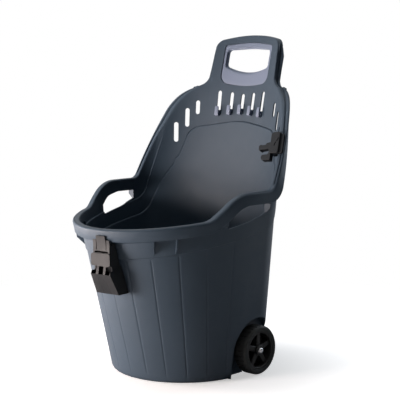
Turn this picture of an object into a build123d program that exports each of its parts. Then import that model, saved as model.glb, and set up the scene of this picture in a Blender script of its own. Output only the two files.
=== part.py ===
from build123d import *
from math import atan2, cos, degrees, radians, sin, tan
import os

os.makedirs("parts", exist_ok=True)

# Overall frame: the origin is the middle of the round foot on the floor, +Z up,
# the low front rim toward -Y, the tall back with the handle toward +Y.

# Tub outline at four heights: half an ellipse in front, straight sides, half an ellipse behind
foot_half_width = 182.0
foot_front_centre = 0.0
foot_front_reach = 182.0
foot_rear_centre = 70.0
foot_rear_reach = 108.0
waist_height = 430.0
waist_half_width = 229.0
waist_front_centre = 16.0
waist_front_reach = 315.0
waist_rear_centre = 62.0
waist_rear_reach = 122.0
bend_height = 704.0
bend_half_width = 214.0
bend_rear_centre = 103.1
bend_rear_reach = 131.2
crown_margin = 18.0
crown_half_width = 205.2
crown_rear_centre = 138.8
crown_rear_reach = 136.7
wall = 3.5
floor_thickness = 4.5
foot_round = 13.0
heel_start = 112.0
heel_slope = 30.0

# Rolled rim: a web on top of the wall and a skirt hanging from its outer edge
rim_overhang = 22.0
rear_overhang = 19.0
skirt_depth = 30.0
skirt_thickness = 3.0
web_thickness = 4.0

# Rim line seen from the side
front_rim_height = 386.0
rim_rise_y = -133.0
rim_rise_z = 405.0
grip_start_y = -59.0
grip_height = 466.0
wing_start_y = 62.0
wing_slope = 62.3
rise_radius = 50.0
grip_radius = 105.0
wing_radius = 24.0

# Rim line seen from the front: shoulders, neck and handle
shoulder_half_width = 226.0
shoulder_height = 621.0
shoulder_spread = 320.0
shoulder_corner_x = 205.0
shoulder_corner_z = 681.0
shoulder_slope = 25.1
neck_half_width = 114.0
handle_half_width = 107.5
handle_height = 847.0
crown_slope = 11.1
shoulder_radius = 75.0
neck_radius = 30.0
handle_radius = 26.0
crown_radius = 380.0
handle_lip = 12.0
lip_radius = 50.0

# Upper shoulder round the inside, where the wall steps out below the side grips
step_depth = 3.0
step_front_height = 349.0
step_turn_y = 80.0
step_turn_z = 413.0
step_slope = 72.0
step_radius = 45.0

# Lower shoulder, which climbs the back and closes in an arch under the tool slots
ledge_depth = 2.5
ledge_front_height = 308.0
ledge_turn_y = 88.0
ledge_turn_z = 373.0
ledge_top_y = 150.0
ledge_top_z = 515.0
ledge_radius = 60.0
arch_side_x = 168.0
arch_side_z = 522.0
arch_corner_x = 146.0
arch_corner_z = 600.0
arch_height = 622.0
arch_radius = 40.0
arch_crown_radius = 240.0

# Side grips: an opening through the wall under the rim, with a web plate at its rear end
grip_hole_front = -73.0
grip_hole_front_low = 379.0
grip_hole_front_high = 408.0
grip_hole_bend = -6.0
grip_hole_bend_low = 389.0
grip_hole_rear = 55.0
grip_hole_rear_low = 410.0
grip_hole_top = 434.5
grip_hole_top_start = -12.0
grip_hole_round = 9.0
grip_plate_y = 45.0
grip_plate_thickness = 3.0
grip_plate_low = 412.0

# Flutes down the flanks and ribs under the rim
flute_step = 15.5
flute_count = 5
rear_flute_count = 3
flute_width = 5.6
flute_depth = 1.3
flute_low = 26.0
flute_margin = 9.0
rib_pair_x = 142.0
rib_spacing = 38.0
rib_thickness = 2.6
rib_drop = 26.0
rib_root = 1.0

# Axle, wheels and wheel wells
axle_y = 61.0
wheel_radius = 61.5
wheel_lift = 1.0
axle_radius = 5.0
running_clearance = 0.05
fit_gap = 0.3
wheel_outer_x = 207.0
wheel_width = 37.0
well_radius = 82.0
well_inner_x = 154.0
boss_radius = 13.0
tunnel_half_width = 10.0
washer_radius = 11.0
washer_thickness = 1.6

# Tool slots in the back: distance from the middle, lower end, upper end
slot_width = 12.0
hook_slots = [(0.0, 650.0, 692.0), (36.5, 648.0, 696.0), (74.0, 645.0, 700.0)]
tool_slots = [(132.0, 636.0, 673.0), (155.0, 602.0, 652.0), (177.0, 561.0, 614.0)]

# Handle insert: a light frame set into the handle, with a flange that grips behind the wall
insert_half_width = 81.0
insert_drop = 20.0
insert_crown = 6.0
insert_bottom = 711.5
insert_sag = 10.0
insert_top_round = 8.0
insert_low_round = 25.0
insert_recess = 1.5
insert_thickness = 2.6
insert_flange = 5.0
insert_collar = 12.0
insert_top_bar = 16.5
opening_half_width = 72.0
opening_crown = 3.5
opening_bottom = 749.3
opening_sag = 14.5
opening_top_round = 9.0
opening_low_round = 10.0

# Tool hooks in the five middle slots
hook_width = 11.4
hook_thickness = 2.8
hook_drop = 16.0
hook_lip = 26.0
hook_throat = 12.0
hook_neck = 4.2
hook_tail = 12.0

# Front clip: hangs on the rim skirt beside the middle, with a tongue in front and a pocket below
clip_x = 21.0
clip_skin = 2.6
clip_gap = 0.4
tongue_width = 28.0
tongue_top = 16.0
tongue_slit = 2.0
tongue_slit_depth = 18.5
clip_top = -4.0
clip_shoulder_gap = 4.0
clip_plate_width = 50.0
clip_plate_top = 6.0
clip_flap_width = 58.0
clip_flap_top = -26.0
clip_flap_low = -56.0
clip_flap_proud = 4.0
clip_flap_round = 6.0
clip_mouth_low = -76.0
clip_mouth_width = 14.0
clip_mouth_pitch = 21.0
clip_mouth_depth = 4.0
clip_wedge_width = 60.0
clip_foot_width = 72.0
clip_foot = -126.0
clip_foot_back = 19.0
clip_foot_run = 20.0

# Wing clip: a saddle over the rim of the right-hand wing and a jaw on a peg
saddle_height = 573.0
saddle_length = 54.0
saddle_inner = 25.0
saddle_outer = 16.5
saddle_rise = 10.0
saddle_leg = 12.0
saddle_gap = 2.2
saddle_inner_leg = 3.5
saddle_corner = 5.0
saddle_bevel = 3.0
face_slot_place = 4.0
face_slot_length = 7.0
face_slot_width = 2.4
face_slot_turn = 30.0
face_slot_depth = 3.0
jaw_offset = -14.0
jaw_radius = 9.0
jaw_thickness = 3.5
jaw_width = 14.0
jaw_reach = 44.0
jaw_mouth = 11.0
tip_thickness = 5.0
tip_turn = 30.0
tip_rise = 3.0
upper_tip_length = 16.0
upper_tip_out = 2.0
lower_tip_length = 11.0
lower_tip_in = 1.0
stem_width = 16.0
stem_bite = 3.0
peg_radius = 3.5
peg_length = 12.0
peg_root = 2.0

# Wheel details
disc_radius = 47.5
disc_rim = 5.0
disc_web = 4.0
disc_inset = 2.0
hub_radius = 14.0
spoke_count = 5
spoke_width_hub = 15.0
spoke_width_rim = 11.0
spoke_inset = 5.0
tyre_shoulder = 4.5
tread_count = 30
tread_width = 3.0
tread_depth = 1.8
cap_radius = 8.0
cap_height = 7.0
cap_flange = 1.6
cap_bore = 3.2
cap_bevel = 3.0

# Size of the cutting forms, well clear of the cart
reach = 600.0


def outline(height, half_width, front_centre, front_reach, rear_centre, rear_reach, grow, rear_grow):
    # The plan outline of the tub at one height, grown outward all round
    across = half_width + grow
    front = front_reach + grow
    rear = rear_reach + rear_grow
    with BuildSketch(Plane.XY.offset(height)) as section:
        with BuildLine():
            EllipticalCenterArc((0, front_centre), across, front, 180, arc_size=90)
            EllipticalCenterArc((0, front_centre), across, front, 270, arc_size=90)
            Line((across, front_centre), (across, rear_centre))
            EllipticalCenterArc((0, rear_centre), across, rear, 0, arc_size=90)
            EllipticalCenterArc((0, rear_centre), across, rear, 90, arc_size=90)
            Line((-across, rear_centre), (-across, front_centre))
        make_face()
    return section.sketch


# The wall is drawn on past the handle by a margin and cut along the rim
crown_height = handle_height + crown_margin

# Height, half width, front centre and reach, rear centre and reach of the outer wall face
foot_front = (foot_front_centre, foot_front_reach)
waist_front = (waist_front_centre, waist_front_reach)
levels = [
    (0, foot_half_width, *foot_front, foot_rear_centre, foot_rear_reach),
    (waist_height, waist_half_width, *waist_front, waist_rear_centre, waist_rear_reach),
    (bend_height, bend_half_width, *waist_front, bend_rear_centre, bend_rear_reach),
    (crown_height, crown_half_width, *waist_front, crown_rear_centre, crown_rear_reach),
]


def tub_form(grow, rear_grow):
    # A solid with the tub's flanks, grown outward from the outer wall face
    sections = [outline(*level, grow, rear_grow) for level in levels]
    with BuildPart() as form:
        loft(sections=sections, ruled=True)
    return form.part


def side_region(points, radii, inset):
    # Everything below and behind a line seen from the side, drawn in from it by inset
    first = (-reach, points[0][1])
    last = (points[-1][0], 2 * reach)
    with BuildPart() as region:
        with BuildSketch(Plane.YZ):
            with BuildLine():
                FilletPolyline(first, *points, last, radius=[0] + radii + [0])
                Polyline(last, (reach, 2 * reach), (reach, -reach), (-reach, -reach), first)
            make_face()
            if inset > 0:
                offset(amount=-inset, kind=Kind.INTERSECTION)
        extrude(amount=reach, both=True)
    return region.part


def front_region(points, radii, top, top_radius, inset):
    # Everything inside a line that is alike on both sides seen from the front, drawn in by inset
    right = [(points[0][0], -reach)] + points
    left = [(-x, z) for x, z in reversed(right)]
    rounds = [0] + radii
    with BuildPart() as region:
        with BuildSketch(Plane.XZ):
            with BuildLine():
                FilletPolyline(*right, (0, top), *left, radius=rounds + [top_radius] + rounds[::-1])
                Line(left[-1], right[0])
            make_face()
            if inset > 0:
                offset(amount=-inset, kind=Kind.INTERSECTION)
        extrude(amount=reach, both=True)
    return region.part


wing_run = reach / 2
rim_side = [
    (-reach / 2, front_rim_height),
    (rim_rise_y, rim_rise_z),
    (grip_start_y, grip_height),
    (wing_start_y, grip_height),
    (wing_start_y + wing_run * cos(radians(wing_slope)), grip_height + wing_run * sin(radians(wing_slope))),
]
rim_side_radii = [rise_radius, grip_radius, wing_radius]
crown_peak = handle_height + crown_radius * (1 / cos(radians(crown_slope)) - 1)


def below_rim(inset, lip, corner_radius):
    # Everything below the rim line, with the neck and the handle widened by lip
    neck_x = neck_half_width + lip
    handle_x = handle_half_width + lip
    rim_front = [
        (shoulder_spread, shoulder_height / 2),
        (shoulder_half_width, shoulder_height),
        (shoulder_corner_x, shoulder_corner_z),
        (neck_x, shoulder_corner_z + (shoulder_corner_x - neck_x) * tan(radians(shoulder_slope))),
        (handle_x, crown_peak - handle_x * tan(radians(crown_slope))),
    ]
    rim_front_radii = [shoulder_radius, shoulder_radius, neck_radius, corner_radius]
    sides = side_region(rim_side, rim_side_radii, inset)
    front = front_region(rim_front, rim_front_radii, crown_peak, crown_radius, inset)
    with BuildPart() as region:
        add(sides)
        add(front, mode=Mode.INTERSECT)
    return region.part


def below_step(inset):
    # Everything below the upper shoulder
    run = reach
    line = [
        (-reach / 2, step_front_height),
        (step_turn_y, step_turn_z),
        (step_turn_y + run * cos(radians(step_slope)), step_turn_z + run * sin(radians(step_slope))),
    ]
    return side_region(line, [step_radius], inset)


def below_ledge(inset):
    # Everything below the lower shoulder and inside its arch
    line = [
        (-reach / 2, ledge_front_height),
        (ledge_turn_y, ledge_turn_z),
        (ledge_top_y, ledge_top_z),
    ]
    sides = side_region(line, [ledge_radius], inset)
    arch = [
        (shoulder_spread, ledge_turn_z),
        (arch_side_x, arch_side_z),
        (arch_corner_x, arch_corner_z),
    ]
    front = front_region(arch, [0, arch_radius], arch_height, arch_crown_radius, inset)
    with BuildPart() as region:
        add(sides)
        add(front, mode=Mode.INTERSECT)
    return region.part


def flank(height):
    # Plan sizes of the outer wall face at one height: half width, front and rear centre and reach
    span = max(number for number, level in enumerate(levels[:-1]) if level[0] <= max(height, 0))
    low, high = levels[span], levels[span + 1]
    part = (height - low[0]) / (high[0] - low[0])
    return [a + (b - a) * part for a, b in zip(low[1:], high[1:])]


def back_y(x, height, grow):
    # Where the back wall lies at a distance from the middle
    half_width, front_centre, front_reach, rear_centre, rear_reach = flank(height)
    return rear_centre + (rear_reach + grow) * (1 - (x / (half_width + grow)) ** 2) ** 0.5


def back_turn(x, height):
    # How far the back wall has turned away from straight ahead, in degrees
    half_width, front_centre, front_reach, rear_centre, rear_reach = flank(height)
    return degrees(atan2(x / half_width ** 2, (back_y(x, height, 0) - rear_centre) / rear_reach ** 2))


def front_y(x, height, grow):
    # Where the front wall lies at a distance from the middle
    half_width, front_centre, front_reach, rear_centre, rear_reach = flank(height)
    return front_centre - (front_reach + grow) * (1 - (x / (half_width + grow)) ** 2) ** 0.5


def front_turn(x, height, grow):
    # How far the front wall has turned away from straight ahead, in degrees
    half_width, front_centre, front_reach, rear_centre, rear_reach = flank(height)
    return degrees(atan2(x / (half_width + grow) ** 2,
                         (front_centre - front_y(x, height, grow)) / (front_reach + grow) ** 2))


axle_z = wheel_radius + wheel_lift
upper_grow = ledge_depth + step_depth
back_front = ledge_depth - wall

outer_form = tub_form(0, 0)
ledge_outer = tub_form(ledge_depth, ledge_depth)
step_outer = tub_form(upper_grow, upper_grow)
inner_form = tub_form(-wall, -wall)
ledge_inner = tub_form(ledge_depth - wall, ledge_depth - wall)
step_inner = tub_form(upper_grow - wall, upper_grow - wall)
skirt_form = tub_form(rim_overhang, rear_overhang)
skirt_inside = tub_form(rim_overhang - skirt_thickness, rear_overhang - skirt_thickness)
rim_space = below_rim(0, 0, handle_radius)
web_space = below_rim(web_thickness, 0, handle_radius)
skirt_space = below_rim(skirt_depth, 0, handle_radius)
lip_space = below_rim(0, handle_lip, lip_radius)


def underside(skin):
    # The spaces below the tub, thickened by skin: wheel wells, axle tunnel and the sloped heel
    well_start = well_inner_x - skin
    well_side = well_radius + skin
    tunnel_side = tunnel_half_width + skin
    tunnel_end = well_inner_x - wall
    with BuildPart() as space:
        with BuildSketch(Plane.YZ.offset(well_start)):
            with Locations((axle_y, axle_z)):
                Circle(well_side)
            with Locations((axle_y, axle_z)):
                Rectangle(2 * well_side, 3 * axle_z, align=(Align.CENTER, Align.MAX))
        extrude(amount=reach)
        mirror(about=Plane.YZ)
        with BuildSketch(Plane.YZ):
            with Locations((axle_y, axle_z)):
                Circle(tunnel_side)
            with Locations((axle_y, axle_z)):
                Rectangle(2 * tunnel_side, 3 * axle_z, align=(Align.CENTER, Align.MAX))
        extrude(amount=tunnel_end, both=True)
        with BuildSketch(Plane.YZ):
            with BuildLine():
                run = reach / 2
                lift = skin / cos(radians(heel_slope))
                Polyline(
                    (heel_start, lift),
                    (heel_start + run, lift + run * tan(radians(heel_slope))),
                    (heel_start + run, -reach / 2),
                    (heel_start, -reach / 2),
                    close=True,
                )
            make_face()
        extrude(amount=reach / 2, both=True)
    return space.part


def frame_outline(half_width, top, crown, bottom, sag, top_round, low_round):
    # A frame seen from the front: upright sides, a top edge that rises and a bottom edge that sags
    with BuildSketch() as frame:
        with BuildLine():
            ThreePointArc((-half_width, top - crown), (0, top), (half_width, top - crown))
            Line((half_width, top - crown), (half_width, bottom + sag))
            ThreePointArc((half_width, bottom + sag), (0, bottom), (-half_width, bottom + sag))
            Line((-half_width, bottom + sag), (-half_width, top - crown))
        make_face()
        fillet(frame.vertices().group_by(Axis.Y)[-1], top_round)
        fillet(frame.vertices().group_by(Axis.Y)[0], low_round)
    return frame.sketch


insert_top = handle_height - insert_drop
opening_top = insert_top - insert_top_bar
insert_outline = frame_outline(insert_half_width, insert_top, insert_crown, insert_bottom, insert_sag,
                               insert_top_round, insert_low_round)
opening_outline = frame_outline(opening_half_width, opening_top, opening_crown, opening_bottom, opening_sag,
                                opening_top_round, opening_low_round)

handle_plane = Plane.XZ.offset(-back_y(0, handle_height, 0))
handle_cut = reach / 5
under_outer = underside(0)
under_inner = underside(wall)
above_step = below_step(0)
above_ledge = below_ledge(0)
step_skin = below_step(wall)
ledge_skin = below_ledge(wall)

with BuildPart() as slot_tools:
    for x, low, high in hook_slots + tool_slots:
        for side in [1, -1] if x > 0 else [1]:
            turn = back_turn(side * x, low)
            away = (sin(radians(turn)), cos(radians(turn)), 0)
            face = Plane((side * x, back_y(x, low, 0), low), x_dir=(-away[1], away[0], 0), z_dir=away)
            with BuildSketch(face):
                with Locations((0, (high - low) / 2)):
                    SlotOverall(high - low, slot_width, rotation=90)
            extrude(amount=2 * slot_width, both=True)

with BuildPart() as ribs:
    for side in [1, -1]:
        for lean in [0.5, -0.5]:
            height = front_rim_height - skirt_depth
            middle_turn = front_turn(rib_pair_x, height, 0)
            x = side * (rib_pair_x + lean * rib_spacing * cos(radians(middle_turn)))
            turn = front_turn(x, height, 0)
            away = (sin(radians(turn)), -cos(radians(turn)), 0)
            along = (-cos(radians(turn)), -sin(radians(turn)), 0)
            root = Plane((x, front_y(x, height, 0), height), x_dir=away, z_dir=along)
            fall = (front_y(x, height - rib_drop, 0) - front_y(x, height, 0)) * cos(radians(turn))
            with BuildSketch(root):
                with BuildLine():
                    Polyline(
                        (-rib_root, skirt_depth / 2),
                        (rim_overhang - skirt_thickness, skirt_depth / 2),
                        (rim_overhang - skirt_thickness, 0),
                        (-rib_root - fall, -rib_drop),
                        close=True,
                    )
                make_face()
            extrude(amount=rib_thickness / 2, both=True)

with BuildPart() as flutes:
    # Each flute runs along a straight line of the wall
    for side in [1, -1]:
        count = flute_count if side > 0 else rear_flute_count
        top = ledge_front_height - flute_margin if side > 0 else waist_height - flute_margin
        for number in range(-count, count + 1):
            angle = radians(number * flute_step)
            spot = 1 if side > 0 else 3
            ends = []
            for height in [0, waist_height]:
                sizes = flank(height)
                y = sizes[spot] - side * sizes[spot + 1] * cos(angle)
                ends.append(Vector(sizes[0] * sin(angle), y, height))
            line = ends[1] - ends[0]
            outward = Vector(sin(angle) / sizes[0], -side * cos(angle) / sizes[spot + 1], 0)
            start = ends[0] + line * (flute_low / waist_height)
            with BuildSketch(Plane(start, x_dir=line.cross(outward), z_dir=line)):
                Polygon(
                    (-flute_width, -flute_depth),
                    (flute_width, -flute_depth),
                    (0, flute_depth),
                    align=None,
                )
            extrude(amount=line.length * (top - flute_low) / waist_height)

with BuildPart() as cavity_top:
    add(step_inner)
    add(above_step, mode=Mode.SUBTRACT)

with BuildPart() as cavity:
    add(ledge_inner)
    add(above_ledge, mode=Mode.SUBTRACT)
    add(inner_form)
    add(cavity_top.part)
    add(under_inner, mode=Mode.SUBTRACT)
    Box(2 * reach, 2 * reach, 2 * floor_thickness, mode=Mode.SUBTRACT)

with BuildPart() as shell_top:
    add(step_outer)
    add(step_skin, mode=Mode.SUBTRACT)

with BuildPart() as foot:
    add(outer_form)
    foot_edges = foot.edges().group_by(Axis.Z)[0]
    fillet(foot_edges, foot_round)

with BuildPart() as shell:
    add(ledge_outer)
    add(ledge_skin, mode=Mode.SUBTRACT)
    add(foot.part)
    add(shell_top.part)
    add(rim_space, mode=Mode.INTERSECT)

with BuildPart() as rim_form:
    add(skirt_form)
    add(rim_space, mode=Mode.INTERSECT)

with BuildPart() as rim_web:
    add(rim_form.part)
    add(web_space, mode=Mode.SUBTRACT)

with BuildPart() as skirt:
    add(skirt_form)
    add(lip_space, mode=Mode.INTERSECT)
    add(skirt_space, mode=Mode.SUBTRACT)
    add(skirt_inside, mode=Mode.SUBTRACT)

with BuildPart() as tub:
    add(shell.part)
    add(rim_web.part)
    add(skirt.part)
    add(under_outer, mode=Mode.SUBTRACT)
    # Bosses that carry the axle in the wells
    with BuildSketch(Plane.YZ.offset(well_inner_x - wall)):
        with Locations((axle_y, axle_z)):
            Circle(boss_radius)
    boss_length = wheel_outer_x - wheel_width - washer_thickness - 2 * fit_gap - well_inner_x + wall
    boss = extrude(amount=boss_length)
    mirror(boss, about=Plane.YZ)
    # Hollow of the tub
    add(cavity.part, mode=Mode.SUBTRACT)
    # Axle bore
    with BuildSketch(Plane.YZ):
        with Locations((axle_y, axle_z)):
            Circle(axle_radius + running_clearance)
    extrude(amount=reach, both=True, mode=Mode.SUBTRACT)
    # Side grips
    with BuildSketch(Plane.YZ):
        with BuildLine():
            FilletPolyline(
                (grip_hole_front, grip_hole_front_low),
                (grip_hole_bend, grip_hole_bend_low),
                (grip_hole_rear, grip_hole_rear_low),
                (grip_hole_rear, grip_hole_top),
                (grip_hole_top_start, grip_hole_top),
                (grip_hole_front, grip_hole_front_high),
                radius=grip_hole_round,
                close=True,
            )
        make_face()
    extrude(amount=reach, both=True, mode=Mode.SUBTRACT)
    # Tool slots
    add(slot_tools.part, mode=Mode.SUBTRACT)
    # Hole in the handle for the insert
    with BuildSketch(handle_plane):
        add(insert_outline)
    extrude(amount=handle_cut, both=True, mode=Mode.SUBTRACT)
    # Web plates across the rim at the rear end of the grips
    for side in [1, -1]:
        inner_x = waist_half_width
        outer_x = waist_half_width + rim_overhang - skirt_thickness / 2
        with BuildSketch(Plane.XZ.offset(-grip_plate_y)):
            with BuildLine():
                Polyline(
                    (side * inner_x, grip_plate_low),
                    (side * outer_x, grip_plate_low + outer_x - inner_x),
                    (side * outer_x, grip_height - web_thickness / 2),
                    (side * inner_x, grip_height - web_thickness / 2),
                    close=True,
                )
            make_face()
        extrude(amount=-grip_plate_thickness)
    # Ribs under the front rim
    add(ribs.part)
    # Flutes down the flanks
    add(flutes.part, mode=Mode.SUBTRACT)

tub.part.label = "tub"
export_step(tub.part, "parts/tub.step")

# Handle insert
insert_front = tub_form(back_front + insert_recess, back_front + insert_recess)
insert_back = tub_form(back_front + insert_collar, back_front + insert_collar)
plate_grow = back_front + insert_recess + insert_thickness
plate_back = tub_form(plate_grow, plate_grow)
flange_grow = ledge_depth + fit_gap
flange_front = tub_form(flange_grow, flange_grow)
flange_back = tub_form(flange_grow + insert_thickness, flange_grow + insert_thickness)

with BuildPart() as insert_flange_ring:
    with BuildSketch(handle_plane):
        add(insert_outline)
        offset(amount=insert_flange)
    extrude(amount=handle_cut, both=True)
    add(flange_back, mode=Mode.INTERSECT)
    add(flange_front, mode=Mode.SUBTRACT)

with BuildPart() as insert_hollow:
    # The space behind the lower plate, open at the back
    with BuildSketch(handle_plane):
        add(insert_outline)
        offset(amount=-fit_gap - insert_thickness)
        with Locations((0, opening_bottom - insert_thickness)):
            Rectangle(reach, reach, align=(Align.CENTER, Align.MAX), mode=Mode.INTERSECT)
    extrude(amount=handle_cut, both=True)
    add(plate_back, mode=Mode.SUBTRACT)

with BuildPart() as handle_insert:
    with BuildSketch(handle_plane):
        add(insert_outline)
        offset(amount=-fit_gap)
    extrude(amount=handle_cut, both=True)
    add(insert_back, mode=Mode.INTERSECT)
    add(insert_front, mode=Mode.SUBTRACT)
    add(insert_flange_ring.part)
    add(insert_hollow.part, mode=Mode.SUBTRACT)
    # Opening for the hand
    with BuildSketch(handle_plane):
        add(opening_outline)
    extrude(amount=handle_cut, both=True, mode=Mode.SUBTRACT)

handle_insert.part.label = "handle_insert"
export_step(handle_insert.part, "parts/handle_insert.step")

# Tool hooks
places = [(0.0, hook_slots[0][1])]
for x, low, high in hook_slots[1:]:
    places.append((x, low))
    places.append((-x, low))
places.sort()
for number, (x, low) in enumerate(places):
    turn = back_turn(x, low)
    rise_y = back_y(x, low + hook_drop, back_front) - back_y(x, low - hook_drop, back_front)
    lean = rise_y / (2 * hook_drop) * cos(radians(turn))
    forward = Vector(-sin(radians(turn)), -cos(radians(turn)), lean)
    along = Vector(cos(radians(turn)), -sin(radians(turn)), 0)
    seat = Plane((x, back_y(x, low, back_front), low), x_dir=forward, z_dir=along)
    rise = 1 if seat.y_dir.Z > 0 else -1
    through = -wall - fit_gap
    hook_seat = slot_width / 2
    with BuildPart() as tool_hook:
        with BuildSketch(seat):
            with BuildLine():
                Polyline(
                    (fit_gap, -rise * hook_drop),
                    (hook_throat + hook_thickness, -rise * hook_drop),
                    (hook_throat + hook_thickness, rise * (hook_lip - hook_drop)),
                    (hook_throat, rise * (hook_lip - hook_drop)),
                    (hook_throat, -rise * (hook_drop - hook_thickness)),
                    (fit_gap + hook_thickness, -rise * (hook_drop - hook_thickness)),
                    (fit_gap + hook_thickness, rise * (hook_seat + hook_neck)),
                    (through - hook_thickness, rise * (hook_seat + hook_neck)),
                    (through - hook_thickness, -rise * hook_tail),
                    (through, -rise * hook_tail),
                    (through, rise * hook_seat),
                    (fit_gap, rise * hook_seat),
                    close=True,
                )
            make_face()
        extrude(amount=hook_width / 2, both=True)
    tool_hook.part.label = "tool_hook_" + str(number + 1)
    export_step(tool_hook.part, "parts/tool_hook_" + str(number + 1) + ".step")

# Axle, washers, caps, wheels and tyres
hub_outer_x = wheel_outer_x - disc_inset
cap_start_x = hub_outer_x + fit_gap
with BuildPart() as axle:
    with BuildSketch(Plane.YZ):
        with Locations((axle_y, axle_z)):
            Circle(axle_radius)
    extrude(amount=cap_start_x + cap_bore, both=True)
axle.part.label = "axle"
export_step(axle.part, "parts/axle.step")

for side, side_name in [(1, "right"), (-1, "left")]:
    wheel_axis = Plane((0, axle_y, axle_z), x_dir=(0, 1, 0), z_dir=(side, 0, 0))
    wheel_inner_x = wheel_outer_x - wheel_width

    with BuildPart() as hub_washer:
        with BuildSketch(wheel_axis.offset(wheel_inner_x + disc_inset - fit_gap - washer_thickness)):
            Circle(washer_radius)
            Circle(axle_radius + running_clearance, mode=Mode.SUBTRACT)
        extrude(amount=washer_thickness)
    hub_washer.part.label = "hub_washer_" + side_name
    export_step(hub_washer.part, "parts/hub_washer_" + side_name + ".step")

    with BuildPart() as axle_cap:
        with BuildSketch(wheel_axis.offset(cap_start_x)):
            Circle(cap_radius - cap_flange / 2)
        extrude(amount=cap_height)
        chamfer(axle_cap.edges().sort_by_distance((0, axle_y, axle_z))[-1], cap_bevel)
        with BuildSketch(wheel_axis.offset(cap_start_x)):
            Circle(cap_radius)
        extrude(amount=cap_flange)
        with BuildSketch(wheel_axis.offset(cap_start_x)):
            Circle(axle_radius)
        extrude(amount=cap_bore, mode=Mode.SUBTRACT)
    axle_cap.part.label = "axle_cap_" + side_name
    export_step(axle_cap.part, "parts/axle_cap_" + side_name + ".step")

    with BuildPart() as wheel:
        # Rim, back web and hub
        with BuildSketch(wheel_axis.offset(wheel_inner_x + disc_inset)):
            Circle(disc_radius)
            Circle(disc_radius - disc_rim, mode=Mode.SUBTRACT)
        extrude(amount=wheel_width - 2 * disc_inset)
        with BuildSketch(wheel_axis.offset(wheel_inner_x + disc_inset + disc_web)):
            Circle(disc_radius - disc_rim / 2)
        extrude(amount=disc_web)
        with BuildSketch(wheel_axis.offset(wheel_inner_x + disc_inset)):
            Circle(hub_radius)
        extrude(amount=wheel_width - 2 * disc_inset)
        # Spokes, one of them straight up
        with BuildSketch(wheel_axis.offset(wheel_inner_x + disc_inset + disc_web)):
            with PolarLocations(0, spoke_count, start_angle=90):
                Polygon(
                    (0, spoke_width_hub / 2),
                    (disc_radius - disc_rim / 2, spoke_width_rim / 2),
                    (disc_radius - disc_rim / 2, -spoke_width_rim / 2),
                    (0, -spoke_width_hub / 2),
                    align=None,
                )
        extrude(amount=wheel_width - 2 * disc_inset - disc_web - spoke_inset)
        with BuildSketch(wheel_axis):
            Circle(axle_radius + running_clearance)
        extrude(amount=reach, mode=Mode.SUBTRACT)
    wheel.part.label = "wheel_" + side_name
    export_step(wheel.part, "parts/wheel_" + side_name + ".step")

    with BuildPart() as tyre:
        with BuildSketch(wheel_axis.offset(wheel_inner_x)):
            Circle(wheel_radius)
        extrude(amount=wheel_width)
        chamfer(tyre.edges().filter_by(GeomType.CIRCLE), tyre_shoulder)
        with BuildSketch(wheel_axis.offset(wheel_inner_x)):
            Circle(disc_radius + running_clearance)
        extrude(amount=wheel_width, mode=Mode.SUBTRACT)
        with BuildSketch(wheel_axis.offset(wheel_inner_x)):
            with PolarLocations(wheel_radius, tread_count):
                Rectangle(2 * tread_depth, tread_width)
        extrude(amount=wheel_width, mode=Mode.SUBTRACT)
    tyre.part.label = "tyre_" + side_name
    export_step(tyre.part, "parts/tyre_" + side_name + ".step")

# Front clip: measured outward from the skirt face and up from the skirt's lower edge
clip_height = front_rim_height - skirt_depth
clip_turn = front_turn(clip_x, clip_height, rim_overhang)
clip_out = Vector(sin(radians(clip_turn)), -cos(radians(clip_turn)), 0)
clip_side = Vector(-cos(radians(clip_turn)), -sin(radians(clip_turn)), 0)
clip_root = Vector(clip_x, front_y(clip_x, clip_height, rim_overhang), clip_height)
clip_profile = Plane(clip_root, x_dir=clip_out, z_dir=clip_side)
clip_face = Plane(clip_root, x_dir=-clip_side, z_dir=clip_out)
clip_fall = front_y(clip_x, clip_height + clip_foot, 0) - front_y(clip_x, clip_height, 0)
slant = -clip_fall / clip_foot * cos(radians(clip_turn))
clip_back = -rim_overhang + 3 * clip_gap
clip_step = step_front_height - clip_height - 2 * wall - clip_shoulder_gap
clip_ledge = ledge_front_height - clip_height - 2 * wall - clip_shoulder_gap
flap_out = clip_gap + clip_skin + clip_flap_proud


def clip_taper(inset):
    # The front outline of the pocket body, drawn in by inset
    with BuildPart() as taper:
        with BuildSketch(clip_face):
            with BuildLine():
                Polyline(
                    (clip_plate_width / 2 - inset, tongue_top),
                    (clip_plate_width / 2 - inset, clip_flap_low),
                    (clip_wedge_width / 2 - inset, clip_mouth_low),
                    (clip_foot_width / 2 - inset, clip_foot - clip_foot_run),
                    (-clip_foot_width / 2 + inset, clip_foot - clip_foot_run),
                    (-clip_wedge_width / 2 + inset, clip_mouth_low),
                    (-clip_plate_width / 2 + inset, clip_flap_low),
                    (-clip_plate_width / 2 + inset, tongue_top),
                    close=True,
                )
            make_face()
        extrude(amount=handle_cut, both=True)
    return taper.part


body_taper = clip_taper(0)
hollow_taper = clip_taper(clip_skin)
with BuildPart() as clip_hollow:
    with BuildSketch(clip_profile):
        with BuildLine():
            Polyline(
                (clip_back + upper_grow + clip_skin + slant * clip_top, clip_top - clip_skin),
                (clip_gap, clip_top - clip_skin),
                (clip_gap, clip_mouth_low),
                (-clip_foot_back - clip_skin, clip_foot + clip_skin),
                (clip_back + upper_grow + clip_skin + slant * clip_foot, clip_foot + clip_skin),
                close=True,
            )
        make_face()
    extrude(amount=handle_cut, both=True)
    add(hollow_taper, mode=Mode.INTERSECT)

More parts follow.
